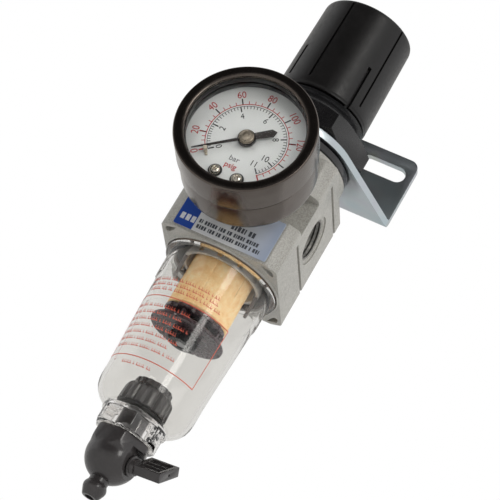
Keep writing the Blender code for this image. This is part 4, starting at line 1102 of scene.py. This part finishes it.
def make_bowl_print():
    """A red frame, and plain bars inside it in place of lines of print."""
    lines = [
        bowl_patch(-72, 55, -44.0, -43.7), bowl_patch(-72, 55, -65.5, -65.2),
        bowl_patch(54.5, 55.3, -65.4, -43.8), bowl_patch(-72.3, -71.5, -65.4, -43.8),
    ]
    bars = []
    rows = [
        (-60, 30, -37.6), (-58, 34, -39.4), (-56, 38, -41.2), (-64, 16, -47.2), (-64, 8, -49.6), (-64, 20, -52.0),
        (-64, 12, -54.4), (-64, 18, -56.8), (-64, 10, -59.2), (-62, 24, -61.6), (-34, 6, -67.6),
    ]
    for row, (left, right, z) in enumerate(rows):
        for phi0, phi1 in blocks_between(left, right, 3.2, 2 * row):
            bars.append(bowl_patch(phi0, phi1, z - 0.55, z - 0.25))
            bars.append(bowl_patch(phi0, phi0 + 0.28 * (phi1 - phi0), z - 0.25, z + 0.5))
    piece("bowl_frame_lines", together(*lines), BOWL_PRINT, "filter_bowl")
    piece("bowl_bars", together(*bars), BOWL_PRINT, "filter_bowl")


def make_drain_body():
    hexagon = prism(fillet(polygon(9.6, 6, -20.0), 0.6, 3, closed=True), -92.5, -85.3)
    collar = [(0, -85.3), (8.7, -85.3), (9.2, -85.6), (9.4, -86.3), (9.4, -88.8), (9.1, -90.0), (8.5, -91.2), (0, -91.4)]
    head = solid(hexagon, [revolve(collar, 96)], "INTERSECT")
    ball = [(0, -87.2)]
    for i in range(19):
        angle = radians(56 + 102 * i / 18)
        ball.append((8.55 * sin(angle), -92.0 + 8.55 * cos(angle)))
    head = solid(head, [revolve(ball + [(0, ball[-1][1])], 96)], "UNION")
    face = moved(cuboid((6.9, -9.0, -101.0), (13.0, 9.0, -88.0)), Matrix.Rotation(radians(LEVER_AZIMUTH), 4, "Z"))
    head = eased(solid(head, [face]), 0.3, 2, 32.0)
    stem = [(0, -68.0), (4.0, -68.0), (4.3, -68.4)] + thread(4.3, 0.35, -77.0, -68.6, 1.0)
    stem += [(4.2, -77.2), (4.3, -85.9), (0, -85.9)]
    barb = fillet(
        [(0, -99.2), (3.15, -99.2), (3.05, -101.2, 0.6), (3.6, -102.1, 0.4), (3.8, -102.8, 0.5), (3.7, -103.6, 0.6),
         (2.7, -105.9, 0.3), (2.4, -106.2), (0, -106.2)],
        0.2, 4,
    )
    whole = solid(head, [revolve(stem, 64), revolve(barb, 64)], "UNION")
    axis = Vector((cos(radians(LEVER_AZIMUTH)), sin(radians(LEVER_AZIMUTH)), 0))
    centre = Vector((0, 0, LEVER_Z))
    bores = [rod(3.1, centre - axis * 4.6, centre + axis * 9.0, 48), rod(1.55, (0, 0, -110), (0, 0, -60), 32)]
    whole = solid(whole, bores)
    piece("drain_cock_body", whole, DRAIN_PLASTIC, "filter_bowl", ["drain_body"], 32.0)


def make_drain_lever():
    spigot = [
        (0, 9.2), (2.6, 9.2), (2.6, 7.9), (3.3, 7.85), (3.3, 7.2), (2.8, 7.15), (2.8, 6.2), (2.2, 6.1), (2.2, 5.0),
        (2.8, 4.9), (2.8, -4.2), (0, -4.2),
    ]
    lever = revolve(fillet(spigot, 0.1, 2), 64)
    blade_outline = [(-1.55, -2.0), (1.55, -2.0), (1.55, 8.6), (-1.55, 8.6)]
    blade = prism(fillet(blade_outline, 0.35, 3, closed=True), 8.5, 18.5)
    pockets = [rod(0.4, (0, 3.3, 17.6), (0, 3.3, 19.4), 20)]
    for low, high in ((-0.9, 1.4), (1.8, 4.1), (4.5, 7.4)):
        pockets.append(cuboid((0.75, low, 10.0), (2.5, high, 17.3)))
        pockets.append(cuboid((-2.5, low, 10.0), (-0.75, high, 17.3)))
    blade = solid(blade, pockets)
    blade = eased(blade, 0.18, 2, 30.0)
    spin = Matrix.Rotation(radians(42.0), 4, "Z")
    lever = solid(lever, [moved(blade, spin)], "UNION")
    lever = solid(lever, [rod(1.2, (0, -5, 0), (0, 5, 0), 24)])
    piece("drain_handle", moved(lever, LEVER), DRAIN_PLASTIC, "drain_cock", ["drain_lever"], 30.0)
    section = arc(2.62, 5.55, 0.35, 90, -240, 11)
    piece("handle_o_ring", moved(revolve(section, 64, closed=True), LEVER), RUBBER, "drain_cock", ["lever_o_ring"])


def make_drain_nut():
    profile = fillet(
        [(4.65, -66.4), (6.2, -66.4, 0.3), (6.4, -68.4, 0.3), (7.5, -69.0, 0.6), (8.0, -70.0, 0.4), (8.2, -75.1, 0.4),
         (7.8, -75.5), (4.65, -75.5)],
        0.2, 3, closed=True,
    )

    def shape(turn, r, z):
        if r < 5.5:
            return r
        depth = 0.75 if r > 7.5 else 0.35
        wave = 0.5 + 0.5 * cos(radians(turn * 14 + 20.0))
        return r - depth * wave ** 3

    nut = revolve(profile, 196, closed=True, shape=shape)
    piece("drain_nut_ribbed", nut, RIBBED_PLASTIC, "filter_bowl", ["drain_nut"], 30.0)
    gasket = fillet([(4.7, -75.8), (7.9, -75.8), (8.1, -76.2), (7.9, -76.6), (4.7, -76.6)], 0.15, 3, closed=True)
    piece("drain_washer", revolve(gasket, 96, closed=True), RUBBER, "filter_bowl", ["drain_gasket"], 35.0)


def make_bowl_seal():
    section = arc(17.8, -23.1, 0.8, 90, -247.5, 15)
    piece("bowl_seal_ring", revolve(section, 160, closed=True), SEAL_RUBBER, "bowl_seal", ["bowl_o_ring"], 60.0)


# ---------------------------------------------------------------- inside parts

def coil(mean_radius, low, high, turns, per_turn):
    points = []
    count = turns * per_turn
    for i in range(count + 1):
        angle = 2 * pi * i / per_turn
        share = min(max((i - per_turn) / (count - 2 * per_turn), 0.0), 1.0)
        points.append((mean_radius * cos(angle), mean_radius * sin(angle), low + (high - low) * share))
    return points


def make_springs():
    bm = tube(coil(8.2, 22.1, 41.1, 7, 36), 1.2, 12)
    spring = piece("control_spring", bm, SPRING_STEEL, "frame", ["regulating_spring"], 50.0)
    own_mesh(spring)
    bm = tube(coil(3.6, -11.75, -8.05, 5, 30), 0.35, 8)
    spring = piece("valve_return_spring", bm, SPRING_STEEL, "frame", ["valve_spring"], 50.0)
    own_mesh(spring)


def make_diaphragm():
    profile = fillet(
        [(2.6, 18.0), (10.6, 18.0), (11.3, 17.2), (11.7, 15.5), (12.1, 15.1), (12.6, 15.6), (13.4, 16.6), (16.2, 16.6),
         (16.2, 15.6), (13.1, 15.6), (12.7, 14.6), (12.1, 14.1), (10.9, 14.7), (10.2, 16.9), (2.6, 16.9)],
        0.3, 3, closed=True,
    )
    rubber = piece("diaphragm_rubber", revolve(profile, 96, closed=True), RUBBER, "frame", ["diaphragm"], 35.0)
    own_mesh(rubber)


KEPT = {
    "adjusting_screw": BRIGHT_STEEL, "thrust_washer": BRASS, "adjusting_nut": BRASS, "diaphragm_plate": BRASS,
    "diaphragm_washer": BRASS, "valve_stem": BRASS, "valve_disc": RUBBER, "valve_guide": BONNET_PLASTIC,
    "pinion_arbor": BRASS, "sector_gear": BRASS, "movement_plate": BRASS, "tip_link": BRASS, "bourdon_tube": BRASS,
}


def dress_kept_nodes():
    """The parts inside keep their CAD shape and get a finished material."""
    for name, mat in KEPT.items():
        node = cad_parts[name]
        for slot in node.material_slots:
            slot.material = mat


# ---------------------------------------------------------------- studio

def make_floor():
    bm = bmesh.new()
    bmesh.ops.create_grid(bm, x_segments=4, y_segments=4, size=4.0)
    mesh = bpy.data.meshes.new("studio_floor")
    bm.to_mesh(mesh)
    bm.free()
    floor = Shader("floor_paper", (0.86, 0.86, 0.855), 0.0, 0.7)
    floor.vary_color(300.0, (0.85, 0.85, 0.845), (0.88, 0.88, 0.875))
    mesh.materials.append(floor.mat)
    obj = bpy.data.objects.new("studio_floor", mesh)
    obj.location = (0, 0, -0.42)
    bpy.context.scene.collection.objects.link(obj)


def make_world():
    """A white studio: pale walls, a dim side where the camera stands, and one narrow window of light."""
    world = bpy.data.worlds.new("studio")
    bpy.context.scene.world = world
    world.use_nodes = True
    nodes, links = world.node_tree.nodes, world.node_tree.links
    nodes.clear()
    coords = nodes.new("ShaderNodeTexCoord").outputs["Generated"]

    def lobe(azimuth, elevation, inner, outer, sharp_from, sharp_to):
        """1 near a direction and 0 away from it."""
        az, el = radians(azimuth), radians(elevation)
        dot = nodes.new("ShaderNodeVectorMath")
        dot.operation = "DOT_PRODUCT"
        dot.inputs[1].default_value = (sin(az) * cos(el), -cos(az) * cos(el), sin(el))
        links.new(coords, dot.inputs[0])
        span = nodes.new("ShaderNodeMapRange")
        span.interpolation_type = "SMOOTHSTEP"
        for index, number in enumerate((cos(radians(outer)), cos(radians(inner)), sharp_from, sharp_to), start=1):
            span.inputs[index].default_value = number
        links.new(dot.outputs["Value"], span.inputs[0])
        return span.outputs[0]

    def mixed(fac, first, second):
        mix = nodes.new("ShaderNodeMix")
        mix.data_type = "RGBA"
        links.new(fac, mix.inputs["Factor"])
        for socket, value in ((mix.inputs[6], first), (mix.inputs[7], second)):
            if isinstance(value, tuple):
                socket.default_value = (*value, 1.0)
            else:
                links.new(value, socket)
        return mix.outputs[2]

    room = mixed(lobe(-20.0, 30.0, 22.0, 58.0, 0.0, 1.0), (0.95, 0.95, 0.95), (0.05, 0.05, 0.052))
    room = mixed(lobe(197.0, 23.0, 25.0, 60.0, 0.0, 1.0), room, (0.73, 0.72, 0.70))
    for step in range(9):
        room = mixed(lobe(33.0, 8.0 + 2.6 * step, 1.5, 8.5, 0.0, 1.0), room, (6.0, 5.9, 5.7))
    path = nodes.new("ShaderNodeLightPath")
    seen = mixed(path.outputs["Is Camera Ray"], room, (1.0, 1.0, 1.0))
    background = nodes.new("ShaderNodeBackground")
    links.new(seen, background.inputs["Color"])
    output = nodes.new("ShaderNodeOutputWorld")
    links.new(background.outputs[0], output.inputs["Surface"])


def add_light(name, azimuth, elevation, distance, size, power):
    """A soft square lamp that looks at the object."""
    az, el = radians(azimuth), radians(elevation)
    way = Vector((sin(az) * cos(el), -cos(az) * cos(el), sin(el)))
    centre = TO_ROW @ Vector((0, 0, -15))
    lamp = bpy.data.lights.new(name, "AREA")
    lamp.shape = "SQUARE"
    lamp.size = size
    lamp.energy = power
    obj = bpy.data.objects.new(name, lamp)
    obj.location = centre + way * distance
    obj.rotation_euler = way.to_track_quat("Z", "Y").to_euler()
    obj.visible_glossy = False
    bpy.context.scene.collection.objects.link(obj)


def make_camera():
    """The camera of the picture: low in front, looking up at the gauge, and tilted."""
    az, el, roll = radians(16.9224), radians(-23.4597), radians(30.80)
    distance, side, rise = 683.912, -2.37, -10.65
    back = Vector((sin(az) * cos(el), -cos(az) * cos(el), sin(el)))
    level = Vector((0, 0, 1)).cross(back).normalized()
    upright = back.cross(level)
    right = level * cos(roll) + upright * sin(roll)
    up = upright * cos(roll) - level * sin(roll)
    place = TO_ROW @ (back * distance + right * side + up * rise)
    data = bpy.data.cameras.new("camera")
    data.sensor_fit = "HORIZONTAL"
    data.sensor_width = 36.0
    data.lens = 4.34408 * 36.0
    data.clip_start = 0.01
    data.clip_end = 30.0
    camera = bpy.data.objects.new("camera", data)
    camera.matrix_world = Matrix.Translation(place) @ Matrix((right, up, back)).transposed().to_4x4()
    bpy.context.scene.collection.objects.link(camera)
    bpy.context.scene.camera = camera


def make_all():
    make_camera()
    make_world()
    make_floor()
    add_light("key", -35.0, 35.0, 1.2, 0.7, 2.6)
    add_light("fill", 70.0, 5.0, 1.3, 0.9, 1.3)
    bpy.context.scene.view_settings.view_transform = "Standard"
    make_knob()
    make_panel_nut()
    make_bonnet()
    make_bracket()
    make_body()
    make_flow_arrow()
    make_port_threads()
    make_label()
    make_rear_plug()
    make_gauge_shell()
    make_gauge_stem()
    make_dial_print()
    make_dial_screws()
    make_needle()
    make_filter()
    make_deflector()
    make_retainer()
    make_baffle()
    make_bowl()
    make_bowl_print()
    make_drain_body()
    make_drain_lever()
    make_drain_nut()
    make_bowl_seal()
    make_springs()
    make_diaphragm()
    dress_kept_nodes()


make_all()
